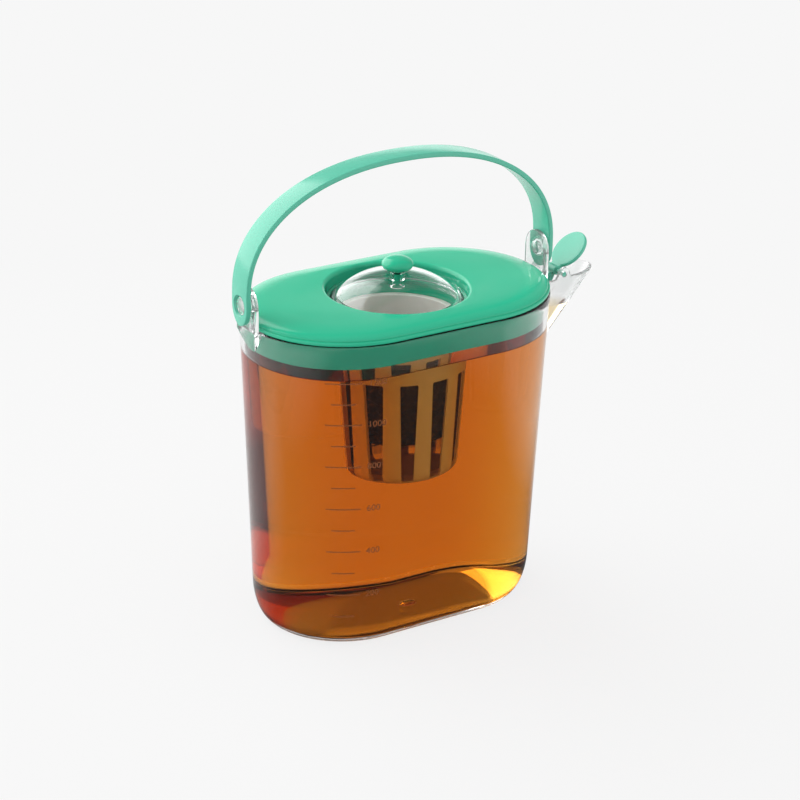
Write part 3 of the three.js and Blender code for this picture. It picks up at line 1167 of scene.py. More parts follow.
    def build(self, plastics: Sequence[Material], tea: "Tea") -> None:
        """Makes the jug and puts it in place of its node.

        Args:
            plastics: Finishes of its kinds of face, in their order.
            tea: The tea that wets it.
        """
        rim = self.outline.rim_height
        lip = self.wall / 2
        outer = self.outer_rings(rim - lip)
        edge = [
            self.outline.ring(lip * (1 + cosine), rim - lip + lip * sine)
            for cosine, sine in arc(math.pi, 0, steps=10)[1:-1]
        ]
        inner = self.inner_rings(rim - lip)
        tub = skin("jug_shell", [*outer, *edge, *reversed(inner)])
        cavity = skin("cavity", self.inner_rings(rim + OVERRUN))
        join(tub, self.spout(cavity), Join.ADD)
        join(tub, self.channel("port", self.spout_wall, rim - self.port_drop), Join.CUT)
        for turn in (0, math.pi):
            join(tub, moved(self.ear(), Matrix.Rotation(turn, 4, "Z")), Join.ADD)
        join(tub, self.cheeks(), Join.ADD)
        dimple = [(0, -OVERRUN), (self.gate_radius, -OVERRUN), (self.gate_radius, 0)]
        dimple += [
            (self.gate_radius * cosine, self.gate_depth * sine)
            for cosine, sine in arc(0, QUARTER, steps=8)[1:]
        ]
        dimple[-1] = (0, self.gate_depth)
        join(tub, turned("gate", dimple, steps=64), Join.CUT)
        discard(cavity)
        weld(tub)
        finish(tub, Body.JUG, plastics[0], ["jug_body"])
        for plastic in plastics[1:]:
            tub.data.materials.append(plastic)
        body = tea.solid()
        self.sort_faces(tub, body)
        discard(body)
        shade(tub)


@dataclass
class Scale:
    """Raised measuring marks and numbers on the jug's wall."""

    jug: Jug
    count: int = 12
    step_millilitres: int = 100
    centre: float = math.radians(30)
    long_half_angle: float = math.radians(10)
    short_half_angle: float = math.radians(6.8)
    number_start: float = math.radians(16.6)
    number_height: float = 2.9 * MM
    line_width: float = 0.42 * MM
    proud: float = 0.12 * MM
    sink: float = 0.1 * MM
    first: float = 4.85 * MM
    pitch: float = 11.42 * MM
    pitch_loss: float = 0.065 * MM
    line_steps: int = 24
    capital_share: float = 0.7

    def height(self, mark: int) -> float:
        """Height of a mark: the jug widens upwards, so the marks draw together."""
        return self.first + mark * (self.pitch - self.pitch_loss * mark)

    def line(self, mark: int) -> Object:
        """One raised line that follows the wall.

        Args:
            mark: Number of its mark.

        Returns:
            The line.
        """
        half = self.long_half_angle if mark % 2 == 0 else self.short_half_angle
        outline = self.jug.outline
        height = self.height(mark)
        low, high = height - self.line_width / 2, height + self.line_width / 2
        rings = []
        corners = ((-self.sink, low), (self.proud, low), (self.proud, high), (-self.sink, high))
        for share in shares(self.line_steps):
            angle = between(self.centre - half, self.centre + half, share)
            rings.append([outline.on_end(angle, proud, z) for proud, z in corners])
        return turn_outward(skin(f"line_{mark}", rings))

    def number(self, mark: int) -> Object:
        """One number, bent round the wall.

        Args:
            mark: Number of its mark.

        Returns:
            The number.
        """
        text = bpy.data.curves.new(f"number_{mark}", "FONT")
        text.body = str(mark * self.step_millilitres)
        text.size = self.number_height / self.capital_share
        text.extrude = (self.proud + self.sink) / 2
        text.align_y = "CENTER"
        flat = linked(text.name, text)
        graph = bpy.context.evaluated_depsgraph_get()
        mesh = bpy.data.meshes.new_from_object(flat.evaluated_get(graph))
        outline = self.jug.outline
        height = self.height(mark)
        for vertex in mesh.vertices:
            across, up, out = vertex.co
            angle = self.number_start - across / outline.half_width(height)
            proud = out + (self.proud - self.sink) / 2
            vertex.co = outline.on_end(angle, proud, height + up)
        discard(flat)
        return linked(text.name, mesh)

    def build(self, painted_mark_shade: Material) -> None:
        """Makes every mark and number as one piece.

        Args:
            painted_mark_shade: Their finish.
        """
        # The marks are clear raised lines; their finish paints them dark brown as the shade of the tea seen
        # through them.
        parts = [self.line(mark) for mark in range(1, self.count + 1)]
        parts += [self.number(mark) for mark in range(2, self.count + 1, 2)]
        made = linked("scale_marks", bpy.data.meshes.new("scale_marks"))
        with editing(made.data) as work:
            for part in parts:
                work.from_mesh(part.data)
        discard(*parts)
        shade(made)
        finish(made, Body.JUG, painted_mark_shade)


@dataclass
class Tea:
    """Tea in the jug and in the foot of the spout."""

    jug: Jug
    soak: float = 0.12 * MM
    creep_height: float = 1.0 * MM
    creep_width: float = 2.4 * MM
    creep_steps: int = 8
    sharp: float = math.radians(50)

    @property
    def level(self) -> float:
        """Height of the tea's level surface."""
        return self.jug.waterline - self.creep_height

    def solid(self) -> Object:
        """Solid of the tea, with its edge drawn up the wall.

        Returns:
            The solid.
        """
        jug = self.jug
        inset = jug.wall - self.soak
        rings = jug.inner_rings(jug.waterline, self.soak)
        for share in shares(self.creep_steps)[1:]:
            height = self.level + self.creep_height * (1 - share) ** 3
            rings.append(jug.outline.ring(inset + self.creep_width * share, height))
        body = skin("tea", rings)
        join(body, jug.channel("tea_in_spout", jug.spout_wall - self.soak, self.level), Join.ADD)
        weld(body)
        return body

    def build(self, brew: Material) -> None:
        """Makes the tea and puts it in the jug.

        Args:
            brew: Its finish.
        """
        body = self.solid()
        shade(body, self.sharp)
        finish(body, Body.JUG, brew)


@dataclass
class Handle:
    """Green strap handle that swings on the jug's studs."""

    jug: Jug
    half_width: float = 6.9 * MM
    top_half_width: float = 6.3 * MM
    rise: float = 57.5 * MM
    tail: float = 9.2 * MM
    straight: float = 5 * MM
    power: float = 2.2
    edge_round: float = 0.55 * MM
    countersink: float = 0.9 * MM
    arch_steps: int = 120
    tail_steps: int = 10

    def path(self) -> list[tuple[Vector, Vector, float]]:
        """Middle line of the strap in X and Z about the pivot.

        Returns:
            Point, outward normal and half-width at each station.
        """
        middle = self.jug.strap_half_length - self.jug.strap_thickness / 2
        top = self.rise - self.jug.strap_thickness / 2
        points: list[tuple[float, float]] = []
        for cosine, _ in arc(0, QUARTER, self.tail_steps)[:-1]:
            points.append((middle, -self.tail * cosine))
        points += [(middle, 0), (middle, self.straight / 2)]
        for cosine, sine in arc(0, math.pi, self.arch_steps):
            x = math.copysign(abs(cosine) ** (2 / self.power), cosine) * middle
            points.append((x, between(self.straight, top, abs(sine) ** (2 / self.power))))
        points += [(-x, z) for x, z in reversed(points[: self.tail_steps + 1])]
        stations = []
        for place, (x, z) in enumerate(points):
            before = Vector(points[max(place - 1, 0)])
            after = Vector(points[min(place + 1, len(points) - 1)])
            along = (after - before).normalized()
            half = between(self.half_width, self.top_half_width, max(z, 0) / self.rise)
            if z < 0:
                half *= math.sqrt(max(0.0, 1 - (z / self.tail) ** 2))
            stations.append((Vector((x, 0, z)), Vector((along.y, 0, -along.x)), half))
        return stations

    def section(self, point: Vector, normal: Vector, half: float) -> Ring:
        """Rounded flat section of the strap at one station.

        Args:
            point: The station's point.
            normal: Its outward normal.
            half: Half of the strap's width there.

        Returns:
            The section.
        """
        thick = self.jug.strap_thickness / 2
        round_radius = min(self.edge_round, half)
        ring: Ring = []
        for quarter, (y_side, n_side) in enumerate(((1, 1), (-1, 1), (-1, -1), (1, -1))):
            start = quarter * QUARTER
            for cosine, sine in arc(start, start + QUARTER, steps=4):
                y = y_side * (half - round_radius) + round_radius * cosine
                out = n_side * (thick - round_radius) + round_radius * sine
                ring.append(point + normal * out + Vector((0, y, 0)))
        return ring

    def build(self, plastic: Material) -> None:
        """Makes the handle, with its countersunk holes.

        Args:
            plastic: Its finish.
        """
        stations = [one for one in self.path() if one[2] > self.edge_round]
        strap = turn_outward(skin("handle_strap", [self.section(*one) for one in stations]))
        hole = self.jug.stud_radius + GAP
        far = self.jug.strap_half_length
        profile = [
            (0, 0),
            (hole, 0),
            (hole, far - self.countersink),
            (hole + self.countersink, far + GAP),
            (hole + self.countersink, far + OVERRUN),
            (0, far + OVERRUN),
        ]
        for turn in (QUARTER, -QUARTER):
            join(strap, moved(turned("hole", profile, steps=96), Matrix.Rotation(turn, 4, "Y")), Join.CUT)
        moved(strap, Matrix.Translation((0, 0, self.jug.pivot_height)))
        weld(strap)
        shade(strap)
        finish(strap, Body.HANDLE, plastic, ["handle"])


@dataclass
class Lid:
    """Green lid: lip, skirt and crown as a shell, with a stepped well."""

    jug: Jug
    lip_height: float = 1.7 * MM
    lip_inset: float = 0.3 * MM
    lip_round: float = 0.5 * MM
    groove: float = 0.9 * MM
    groove_height: float = 0.4 * MM
    crown_length: float = 13 * MM
    crown_height: float = 3.3 * MM
    skin_thickness: float = 1.8 * MM
    skirt_drop: float = 11.2 * MM
    skirt_wall: float = 1.6 * MM
    skirt_clearance: float = 0.4 * MM
    skirt_round: float = 0.45 * MM
    well_mouth_radius: float = 34.3 * MM
    well_mouth_round: float = 1.9 * MM
    cover_seat_depth: float = 6.7 * MM
    well_radius: float = 28.9 * MM
    well_wall: float = 1.6 * MM
    infuser_seat_depth: float = 14.5 * MM
    infuser_seat_width: float = 1.6 * MM
    infuser_seat_thickness: float = 1.5 * MM

    @property
    def lip_bottom(self) -> float:
        """Height of the lip's underside."""
        return self.jug.outline.rim_height + GAP

    @property
    def crown_bottom(self) -> float:
        """Height at which the crown starts."""
        return self.lip_bottom + self.lip_height + self.groove_height

    @property
    def top(self) -> float:
        """Height of the lid's flat top."""
        return self.crown_bottom + self.crown_height

    @property
    def cover_seat(self) -> float:
        """Height of the cover's seat."""
        return self.top - self.cover_seat_depth

    @property
    def cover_seat_radius(self) -> float:
        """Radius of the cover's seat."""
        return self.well_mouth_radius - self.well_mouth_round

    @property
    def infuser_seat(self) -> float:
        """Height of the infuser's seat."""
        return self.top - self.infuser_seat_depth

    @property
    def infuser_seat_radius(self) -> float:
        """Radius of the hole in the infuser's seat."""
        return self.well_radius - self.infuser_seat_width

    def crown(self, inset: float, bottom: float, top: float) -> list[Ring]:
        """Rings of the crown from a height to its level top.

        Args:
            inset: How far the first one is drawn in.
            bottom: Its height.
            top: Height of the level top.

        Returns:
            The rings, going up.
        """
        rings = []
        for cosine, sine in arc(0, QUARTER, steps=18):
            pull = inset + self.crown_length * (1 - cosine)
            rings.append(self.jug.outline.rim_ring(pull, between(bottom, top, sine)))
        return rings

    def bore(self) -> Object:
        """What is cut out of the lid's middle.

        Returns:
            The solid.
        """
        start = self.infuser_seat - self.infuser_seat_thickness - OVERRUN
        profile = [
            (0, start),
            (self.infuser_seat_radius, start),
            (self.infuser_seat_radius, self.infuser_seat),
            (self.well_radius, self.infuser_seat),
            (self.well_radius, self.cover_seat - GAP),
            (self.well_radius + GAP, self.cover_seat),
            (self.cover_seat_radius, self.cover_seat),
        ]
        for cosine, sine in arc(0, QUARTER, steps=12):
            away = self.well_mouth_round * (1 - cosine)
            profile.append((self.cover_seat_radius + away, self.top - self.well_mouth_round * (1 - sine)))
        profile += [(self.well_mouth_radius, self.top + OVERRUN), (0, self.top + OVERRUN)]
        return turned("bore", profile)

    def build(self, plastic: Material) -> None:
        """Makes the lid and puts it in place of its node.

        Args:
            plastic: Its finish.
        """
        outline = self.jug.outline
        skirt_inset = self.jug.wall + self.skirt_clearance
        skirt_bottom = outline.rim_height - self.skirt_drop
        lip_top = self.lip_bottom + self.lip_height
        rings = []
        for cosine, sine in arc(-QUARTER, 0, steps=4):
            height = skirt_bottom + self.skirt_round * (1 + sine)
            rings.append(outline.ring(skirt_inset + self.skirt_round * (1 - cosine), height))
        rings.append(outline.ring(skirt_inset, self.lip_bottom))
        for middle, start, end in (
            (self.lip_bottom + self.lip_round, -QUARTER, 0),
            (lip_top - self.lip_round, 0, QUARTER),
        ):
            for cosine, sine in arc(start, end, steps=5):
                inset = self.lip_inset + self.lip_round * (1 - cosine)
                rings.append(outline.rim_ring(inset, middle + self.lip_round * sine))
        rings.append(outline.rim_ring(self.lip_inset + self.groove, lip_top))
        rings += self.crown(self.lip_inset + self.groove, self.crown_bottom, self.top)
        lid = skin("lid_shell", rings)
        hollow = skirt_inset + self.skirt_wall
        inside = [outline.ring(hollow, skirt_bottom - OVERRUN), outline.ring(hollow, self.lip_bottom)]
        inside += self.crown(hollow, self.lip_bottom + GAP, self.top - self.skin_thickness)
        join(lid, skin("hollow", inside), Join.CUT)
        well_outside = self.well_radius + self.well_wall
        seat_outside = self.cover_seat_radius + self.well_wall
        seat_bottom = self.cover_seat - self.well_wall
        well_bottom = self.infuser_seat - self.infuser_seat_thickness
        well = [
            (0, well_bottom),
            (well_outside - self.skirt_round, well_bottom),
            (well_outside, well_bottom + self.skirt_round),
            (well_outside, seat_bottom - self.well_wall),
            (seat_outside, seat_bottom),
            (seat_outside, self.top - self.skin_thickness / 2),
            (0, self.top - self.skin_thickness / 2),
        ]
        join(lid, turned("well", well), Join.ADD)
        join(lid, self.bore(), Join.CUT)
        weld(lid)
        shade(lid)
        finish(lid, Body.LID, plastic, ["lid"])


@dataclass
class Infuser:
    """Flanged cup with tall windows, the mesh behind them and the leaves inside."""

    lid: Lid
    flange_thickness: float = 1.2 * MM
    flange_edge: float = 0.35 * MM
    length: float = 72.1 * MM
    taper: float = 4.1 * MM
    wall: float = 1.4 * MM
    floor: float = 1.6 * MM
    foot_round: float = 5 * MM
    window_count: int = 10
    window_top_width: float = 8.9 * MM
    window_foot_width: float = 6 * MM
    window_top_band: float = 20.6 * MM
    window_foot_band: float = 1.8 * MM
    window_turn_share: float = 0.76
    window_round: float = 0.8 * MM
    mesh_overlap: float = 1.6 * MM
    wire: float = 0.1 * MM
    wire_pitch: float = 0.48 * MM
    leaf_count: int = 1500
    leaf_length: float = 4.6 * MM
    leaf_bottom_share: float = 0.25
    leaf_top_drop: float = 20 * MM
    lump: float = 1.3 * MM
    lump_size: float = 2.4 * MM
    lump_layers: tuple[float, float, int] = (0.8, 2.0, 3)
    mass_levels: int = 90
    mass_steps: int = 160
    mass_end_levels: int = 4
    mass_end_pull: float = 0.4

    @property
    def top(self) -> float:
        """Height of the flange's top."""
        return self.lid.infuser_seat + GAP + self.flange_thickness

    @property
    def radius(self) -> float:
        """Outside radius under the flange."""
        return self.lid.infuser_seat_radius - GAP

    @property
    def bottom(self) -> float:
        """Height of the cup's foot."""
        return self.top - self.length

    @property
    def window_top(self) -> float:
        """Height of the windows' tops."""
        return self.top - self.window_top_band - self.flange_thickness

    @property
    def window_bottom(self) -> float:
        """Height of the windows' bottoms."""
        return self.bottom + self.window_foot_band

    def radius_at(self, height: float) -> float:
        """Outside radius of the cup at a height."""
        return self.radius - self.taper * (self.top - height) / self.length

    def basket(self) -> Object:
        """The cup with its windows.

        Returns:
            The cup.
        """
        flange = self.lid.well_radius - GAP
        inner_bottom = self.bottom + self.floor
        inner_round = self.foot_round - self.wall
        edge = self.flange_edge
        profile = [(0, self.bottom)]
        for cosine, sine in arc(0, QUARTER, steps=10):
            height = self.bottom + self.foot_round * (1 - cosine)
            profile.append((self.radius_at(height) - self.foot_round * (1 - sine), height))
        under = self.top - self.flange_thickness
        profile += [(self.radius, under), (flange - edge, under), (flange, under + edge)]
        profile += [(flange, self.top - edge), (flange - edge, self.top)]
        profile += [(self.radius - self.wall + edge, self.top), (self.radius - self.wall, self.top - edge)]
        for cosine, sine in reversed(arc(0, QUARTER, steps=10)):
            height = inner_bottom + inner_round * (1 - cosine)
            inset = self.wall + inner_round * (1 - sine)
            profile.append((self.radius_at(height) - inset, height))
        profile.append((0, inner_bottom))
        cup = turned("infuser_cup", profile)
        high = self.window_top_width / 2
        low = self.window_foot_width / 2
        corners = ((high, self.window_top, 0), (-high, self.window_top, 1))
        corners += ((-low, self.window_bottom, 2), (low, self.window_bottom, 3))
        outline = []
        for y, z, quarter in corners:
            y_in = y - math.copysign(self.window_round, y)
            z_in = z + self.window_round * (1 if quarter > 1 else -1)
            for cosine, sine in arc(quarter * QUARTER, (quarter + 1) * QUARTER, steps=4):
                outline.append((y_in + self.window_round * cosine, z_in + self.window_round * sine))
        for count in range(self.window_count):
            turn = (count + self.window_turn_share) / self.window_count * TURN
            window = prism("window", outline, self.radius / 2, self.radius + OVERRUN, "x")
            join(cup, moved(window, Matrix.Rotation(turn, 4, "Z")), Join.CUT)
        weld(cup)
        shade(cup)
        return cup

    def leaf_mass(self, low: float, radius: float) -> Object:
        """Lumpy mass of packed wet leaves.

        Args:
            low: Height of its underside.
            radius: Its mean radius.

        Returns:
            The mass.
        """
        high = self.top - self.leaf_top_drop
        rings = [circle(0, low, 1)]
        for share in shares(self.mass_levels):
            end = min(share, 1 - share) * self.mass_levels / self.mass_end_levels
            size = radius * math.sqrt(1 - max(0.0, 1 - end) ** 2 * self.mass_end_pull)
            ring = circle(size, between(low, high, share), self.mass_steps)
            for point in ring:
                out = Vector((point.x, point.y, 0)).normalized()
                point += out * self.lump * noise.fractal(point / self.lump_size, *self.lump_layers)
            rings.append(ring)
        rings.append(circle(0, high, 1))
        made = skin("tea_leaf_mass", rings)
        shade(made, LEAF_SHARP)
        return made

    def build(self, frosted: Material, wire: Material, leaf: Material) -> None:
        """Makes the cup, the mesh and the leaves.

        Args:
            frosted: Finish of the cup.
            wire: Finish of the mesh.
            leaf: Finish of the leaves.
        """
        finish(self.basket(), Body.INFUSER, frosted, ["infuser_basket"])
        foot = self.bottom + self.foot_round
        sleeve = Weave("infuser_sleeve").build(
            low=foot,
            high=self.window_top + self.mesh_overlap,
            low_radius=self.radius_at(foot) - self.wall - GAP - self.wire,
            high_radius=self.radius_at(self.window_top) - self.wall - GAP - self.wire,
            pitch=self.wire_pitch,
            wire=self.wire,
            material=wire,
        )
        finish(sleeve, Body.INFUSER, wire, ["infuser_mesh"])
        inner = self.radius_at(self.bottom) - self.wall - 3 * self.wire - GAP
        low = between(self.bottom, self.top, self.leaf_bottom_share)
        leaves = LeafPile("tea_leaves").build(
            low=low,
            high=self.top - self.leaf_top_drop - self.leaf_length / 2,
            radius=inner - self.leaf_length / 2,
            count=self.leaf_count,
            length=self.leaf_length,
            material=leaf,
        )
        finish(leaves, Body.INFUSER, leaf)
        finish(self.leaf_mass(low, inner - self.lump), Body.INFUSER, leaf)


class GeometryTree(TreeBuilder):
    """A Geometry Nodes tree with named inputs."""

    def __init__(self, name: str) -> None:
        """Starts a tree with one mesh output.

        Args:
            name: Name of the tree and of the piece that it makes.
        """
        super().__init__(bpy.data.node_groups.new(name, "GeometryNodeTree"))
        self.tree.interface.new_socket("Mesh", in_out="OUTPUT", socket_type="NodeSocketGeometry")
        self.name = name
        self.values: dict[str, object] = {}
        self.entry = self.add("NodeGroupInput")
        self.exit = self.add("NodeGroupOutput")

    def input(self, name: str, value: object, kind: str = "NodeSocketFloat") -> NodeSocket:
        """Adds a named input.

        Args:
            name: Its name.
            value: The value that it takes.
            kind: Its socket's type.

        Returns:
            Its socket inside the tree.
        """
        made = self.tree.interface.new_socket(name, in_out="INPUT", socket_type=kind)
        self.values[made.identifier] = value
        return self.entry.outputs[name]

    def vector(self, x: object = 0.0, y: object = 0.0, z: object = 0.0) -> NodeSocket:
        """Vector of three numbers or sockets."""
        return self.add("ShaderNodeCombineXYZ", X=x, Y=y, Z=z).outputs[0]

    def position(self) -> bpy.types.NodeOutputs:
        """X, Y and Z sockets of each point's place."""
        return self.axes(self.add("GeometryNodeInputPosition").outputs[0])

    def bake(self, geometry: NodeSocket, material: Material) -> Object:
        """Ends the tree in real geometry with its material and bakes it to a plain mesh.

        Args:
            geometry: What the tree makes.
            material: Finish that it sets.

        Returns:
            The object.
        """
        real = self.add("GeometryNodeRealizeInstances", Geometry=geometry)
        dressed = self.add("GeometryNodeSetMaterial", Geometry=real.outputs[0], Material=material)
        self.fill(self.exit.inputs[0], dressed.outputs[0])
        made = solid_from(self.name, [], [])
        modifier = made.modifiers.new(self.name, "NODES")
        modifier.node_group = self.tree
        for identifier, value in self.values.items():
            modifier[identifier] = value
        bake_modifiers(made)
        return made


class Weave(GeometryTree):
    """Cylinder of crossing wires."""

    HOOP_STEPS = 110
    WIRE_SIDES = 3

    def build(
        self,
        low: float,
        high: float,
        low_radius: float,
        high_radius: float,
        pitch: float,
        wire: float,
        material: Material,
    ) -> Object:
        """Makes hoops and upright wires on a tapered sleeve.

        Args:
            low: Height of its foot.
            high: Height of its top.
            low_radius: Radius at its foot.
            high_radius: Radius at its top.
            pitch: Distance between wires.
            wire: Thickness of a wire.
            material: Finish of the wires.

        Returns:
            The sleeve.
        """
        start = self.input("Foot height", low)
        end = self.input("Top height", high)
        foot = self.input("Foot radius", low_radius)
        head = self.input("Top radius", high_radius)
        step = self.input("Pitch", pitch)
        thick = self.input("Wire", wire)
        tall = self.maths("SUBTRACT", end, start)
        hoop_count = self.maths("ADD", self.maths("DIVIDE", tall, step), 1.0)
        hoops = self.add(
            "GeometryNodeMeshLine",
            {"mode": "END_POINTS"},
            Count=hoop_count,
            Start_Location=self.vector(z=start),
            Offset=self.vector(z=end),
        )
        size = self.add(
            "ShaderNodeMapRange",
            Value=self.position()["Z"],
            From_Min=start,
            From_Max=end,
            To_Min=foot,
            To_Max=head,
        ).outputs[0]
        hoop = self.add(
            "GeometryNodeCurvePrimitiveCircle", {"mode": "RADIUS"}, Resolution=self.HOOP_STEPS, Radius=1.0
        )
        hooped = self.add(
            "GeometryNodeInstanceOnPoints",
            Points=hoops.outputs[0],
            Instance=hoop.outputs[0],
            Scale=self.vector(size, size, 1.0),
        )
        upright_count = self.maths("DIVIDE", self.maths("MULTIPLY", head, TURN), step)
        spots = self.add("GeometryNodePoints", Count=upright_count)
        turn = self.maths(
            "DIVIDE",
            self.maths("MULTIPLY", self.add("GeometryNodeInputIndex").outputs[0], TURN),
            self.maths("FLOOR", upright_count),
        )
        inset = self.maths("SUBTRACT", foot, thick)
        upright = self.add(
            "GeometryNodeCurvePrimitiveLine",
            Start=self.vector(inset, 0.0, start),
            End=self.vector(self.maths("SUBTRACT", head, thick), 0.0, end),
        )
        stood = self.add(
            "GeometryNodeInstanceOnPoints",
            Points=spots.outputs[0],
            Instance=upright.outputs[0],
            Rotation=self.vector(z=turn),
        )
        both = self.add("GeometryNodeJoinGeometry")
        for wires in (hooped, stood):
            self.fill(both.inputs[0], wires.outputs[0])
        real = self.add("GeometryNodeRealizeInstances", Geometry=both.outputs[0])
        half = self.maths("DIVIDE", thick, 2.0)
        section = self.add(
            "GeometryNodeCurvePrimitiveCircle", {"mode": "RADIUS"}, Resolution=self.WIRE_SIDES, Radius=half
        )
        sources = {"Curve": real.outputs[0], "Profile_Curve": section.outputs[0]}
        drawn = self.add("GeometryNodeCurveToMesh", Fill_Caps=True, **sources)
        return self.bake(drawn.outputs[0], material)


class LeafPile(GeometryTree):
    """Wet leaves scattered in a cylinder."""

    SEED = 7
    NARROWING = 3.4
    TILT = 1.2
    SMALLEST = 0.5
    LARGEST = 1.15
    THICKNESS = 0.25 * MM

    def build(
        self, low: float, high: float, radius: float, count: int, length: float, material: Material
    ) -> Object:
        """Makes curled leaves at fixed random places.

        Args:
            low: Height of the lowest leaf.
            high: Height of the highest leaf.
            radius: Radius of the pile.
            count: Number of leaves.
            length: Length of a leaf.
            material: Finish of the leaves.

        Returns:
            The pile.
        """
        start = self.input("Lowest", low)
        end = self.input("Highest", high)
        reach = self.input("Radius", radius)
        number = self.input("Leaves", count, "NodeSocketInt")
        size = self.input("Leaf length", length)
        seed = self.input("Seed", self.SEED, "NodeSocketInt")

        def chance(salt: int, least: float = 0.0, most: float = 1.0) -> NodeSocket:
            """One random number for each leaf.

            Args:
                salt: Number that tells this draw from the others.
                least: Lowest result.
                most: Highest result.

            Returns:
                The number's socket.
            """
            draw = self.maths("ADD", seed, salt)
            made = self.add("FunctionNodeRandomValue", {"data_type": "FLOAT"}, Seed=draw)
            made.inputs[2].default_value = least
            made.inputs[3].default_value = most
            return made.outputs[1]

        out = self.maths("MULTIPLY", self.maths("SQRT", chance(1)), reach)
        turn = self.maths("MULTIPLY", chance(2), TURN)
        x = self.maths("MULTIPLY", out, self.maths("COSINE", turn))
        y = self.maths("MULTIPLY", out, self.maths("SINE", turn))
        z = self.maths("ADD", start, self.maths("MULTIPLY", chance(3), self.maths("SUBTRACT", end, start)))
        spots = self.add("GeometryNodePoints", Count=number, Position=self.vector(x, y, z))
        blade = self.add(
            "GeometryNodeMeshGrid",
            Size_X=size,
            Size_Y=self.maths("MULTIPLY", size, 0.5),
            Vertices_X=5,
            Vertices_Y=4,
        )
        blade_x, blade_y, _ = self.position()
        along = self.maths("DIVIDE", blade_x, size)
        squared = self.maths("MULTIPLY", along, along)
        narrow = self.maths("SUBTRACT", 1.0, self.maths("MULTIPLY", squared, self.NARROWING))
        curl = self.maths(
            "ADD",
            self.maths("MULTIPLY", squared, size),
            self.maths("DIVIDE", self.maths("MULTIPLY", blade_y, blade_y), size),
        )
        shaped = self.add(
            "GeometryNodeSetPosition",
            Geometry=blade.outputs[0],
            Position=self.vector(blade_x, self.maths("MULTIPLY", blade_y, narrow), curl),
        )
        placed = self.add(
            "GeometryNodeInstanceOnPoints",
            Points=spots.outputs[0],
            Instance=shaped.outputs[0],
            Rotation=self.vector(
                chance(4, -self.TILT, self.TILT), chance(5, -self.TILT, self.TILT), chance(6, 0, TURN)
            ),
            Scale=self.vector(
                chance(7, self.SMALLEST, self.LARGEST), chance(8, self.SMALLEST, self.LARGEST), 1.0
            ),
        )
        made = self.bake(placed.outputs[0], material)
        solid = made.modifiers.new("thickness", "SOLIDIFY")
        solid.thickness = self.THICKNESS
        bake_modifiers(made)
        shade(made, LEAF_SHARP)
        return made


@dataclass
class Cover:
    """Clear domed cover and its green knob."""

    lid: Lid
    flange_thickness: float = 1.2 * MM
    flange_width: float = 1.7 * MM
    shell: float = 1.4 * MM
    rise: float = 12.8 * MM
    spigot: float = 1.8 * MM
    boss_radius: float = 3.4 * MM
    boss_length: float = 7.8 * MM
    catch_depth: float = 4.6 * MM
    knob_radius: float = 7.2 * MM
    knob_half_height: float = 3.7 * MM
    under_angle: float = math.radians(38)
    neck_radius: float = 3 * MM
    neck_length: float = 0.7 * MM
    pin_radius: float = 1.4 * MM
    barb_radius: float = 2.1 * MM
    barb_length: float = 1.5 * MM
    edge_cut: float = 0.3 * MM
    dome_steps: int = 32

    @property
    def bottom(self) -> float:
        """Height of the flange's underside."""
        return self.lid.cover_seat + GAP

    def dome_points(self, start: float, end: float, drop: float) -> list[tuple[float, float]]:
        """Radii and heights on the dome, from one radius to another.

        Args:
            start: First radius.
            end: Last radius.
            drop: How far the points lie under the dome's outside.

        Returns:
            Pairs of radius and height about the flange's underside.
        """
        foot = self.lid.cover_seat_radius - GAP - self.flange_width
        sphere = (foot**2 + self.rise**2) / (2 * self.rise)
        middle = self.flange_thickness + self.rise - sphere - drop
        radii = [between(start, end, share) for share in shares(self.dome_steps)]
        return [(radius, middle + math.sqrt(sphere**2 - radius**2)) for radius in radii]

    def dome(self) -> Object:
        """The cover: flange, spigot, dome and the boss that hangs under its top.

        Returns:
            The cover.
        """
        flange = self.lid.cover_seat_radius - GAP
        bore = self.pin_radius + GAP
        catch = self.barb_radius + GAP
        outside = self.lid.well_radius - GAP
        inside = outside - self.shell
        top = self.flange_thickness + self.rise
        edge = self.edge_cut
        profile = [
            (inside, -self.spigot + edge),
            (inside + edge, -self.spigot),
            (outside - edge, -self.spigot),
            (outside, -self.spigot + edge),
            (outside, 0),
            (flange - edge, 0),
            (flange, edge),
            (flange, self.flange_thickness - edge),
            (flange - edge, self.flange_thickness),
            (flange - self.flange_width + edge, self.flange_thickness),
            *self.dome_points(flange - self.flange_width - edge, bore, 0),
            (bore, top - self.catch_depth),
            (catch, top - self.catch_depth),
            (catch, top - self.boss_length),
            (self.boss_radius - edge, top - self.boss_length),
            (self.boss_radius, top - self.boss_length + edge),
            *self.dome_points(self.boss_radius, inside, self.shell),
        ]
        made = turned("cover_dome", profile, looped=True)
        return moved(made, Matrix.Translation((0, 0, self.bottom)))

    def knob(self) -> Object:
        """Oval knob with a level underside, with its neck, pin and barb.

        Returns:
            The knob.
        """
        pin = self.catch_depth + 2 * GAP
        middle = self.neck_length + self.knob_half_height * math.sin(self.under_angle)
        profile = [
            (0, -pin - self.barb_length),
            (self.pin_radius, -pin - self.barb_length),
            (self.barb_radius, -pin),
            (self.pin_radius, -pin),
            (self.pin_radius, 0),
            (self.neck_radius, 0),
            (self.neck_radius, self.neck_length),
        ]
        for cosine, sine in arc(-self.under_angle, QUARTER, steps=40)[:-1]:
            profile.append((self.knob_radius * cosine, middle + self.knob_half_height * sine))
        profile.append((0, middle + self.knob_half_height))
        bottom = self.bottom + self.flange_thickness + self.rise + GAP
        return moved(turned("knob_cap", profile, steps=96), Matrix.Translation((0, 0, bottom)))

    def build(self, clear: Material, green: Material) -> None:
        """Makes the cover and its knob.

        Args:
            clear: Finish of the cover.
            green: Finish of the knob.
        """
        for made, material, slot, node in (
            (self.dome(), clear, Slot.CLEAR, "dome_lid"),
            (self.knob(), green, Slot.GREEN, "knob"),
        ):
            shade(made)
            finish(made, Body.COVER, material, [node])


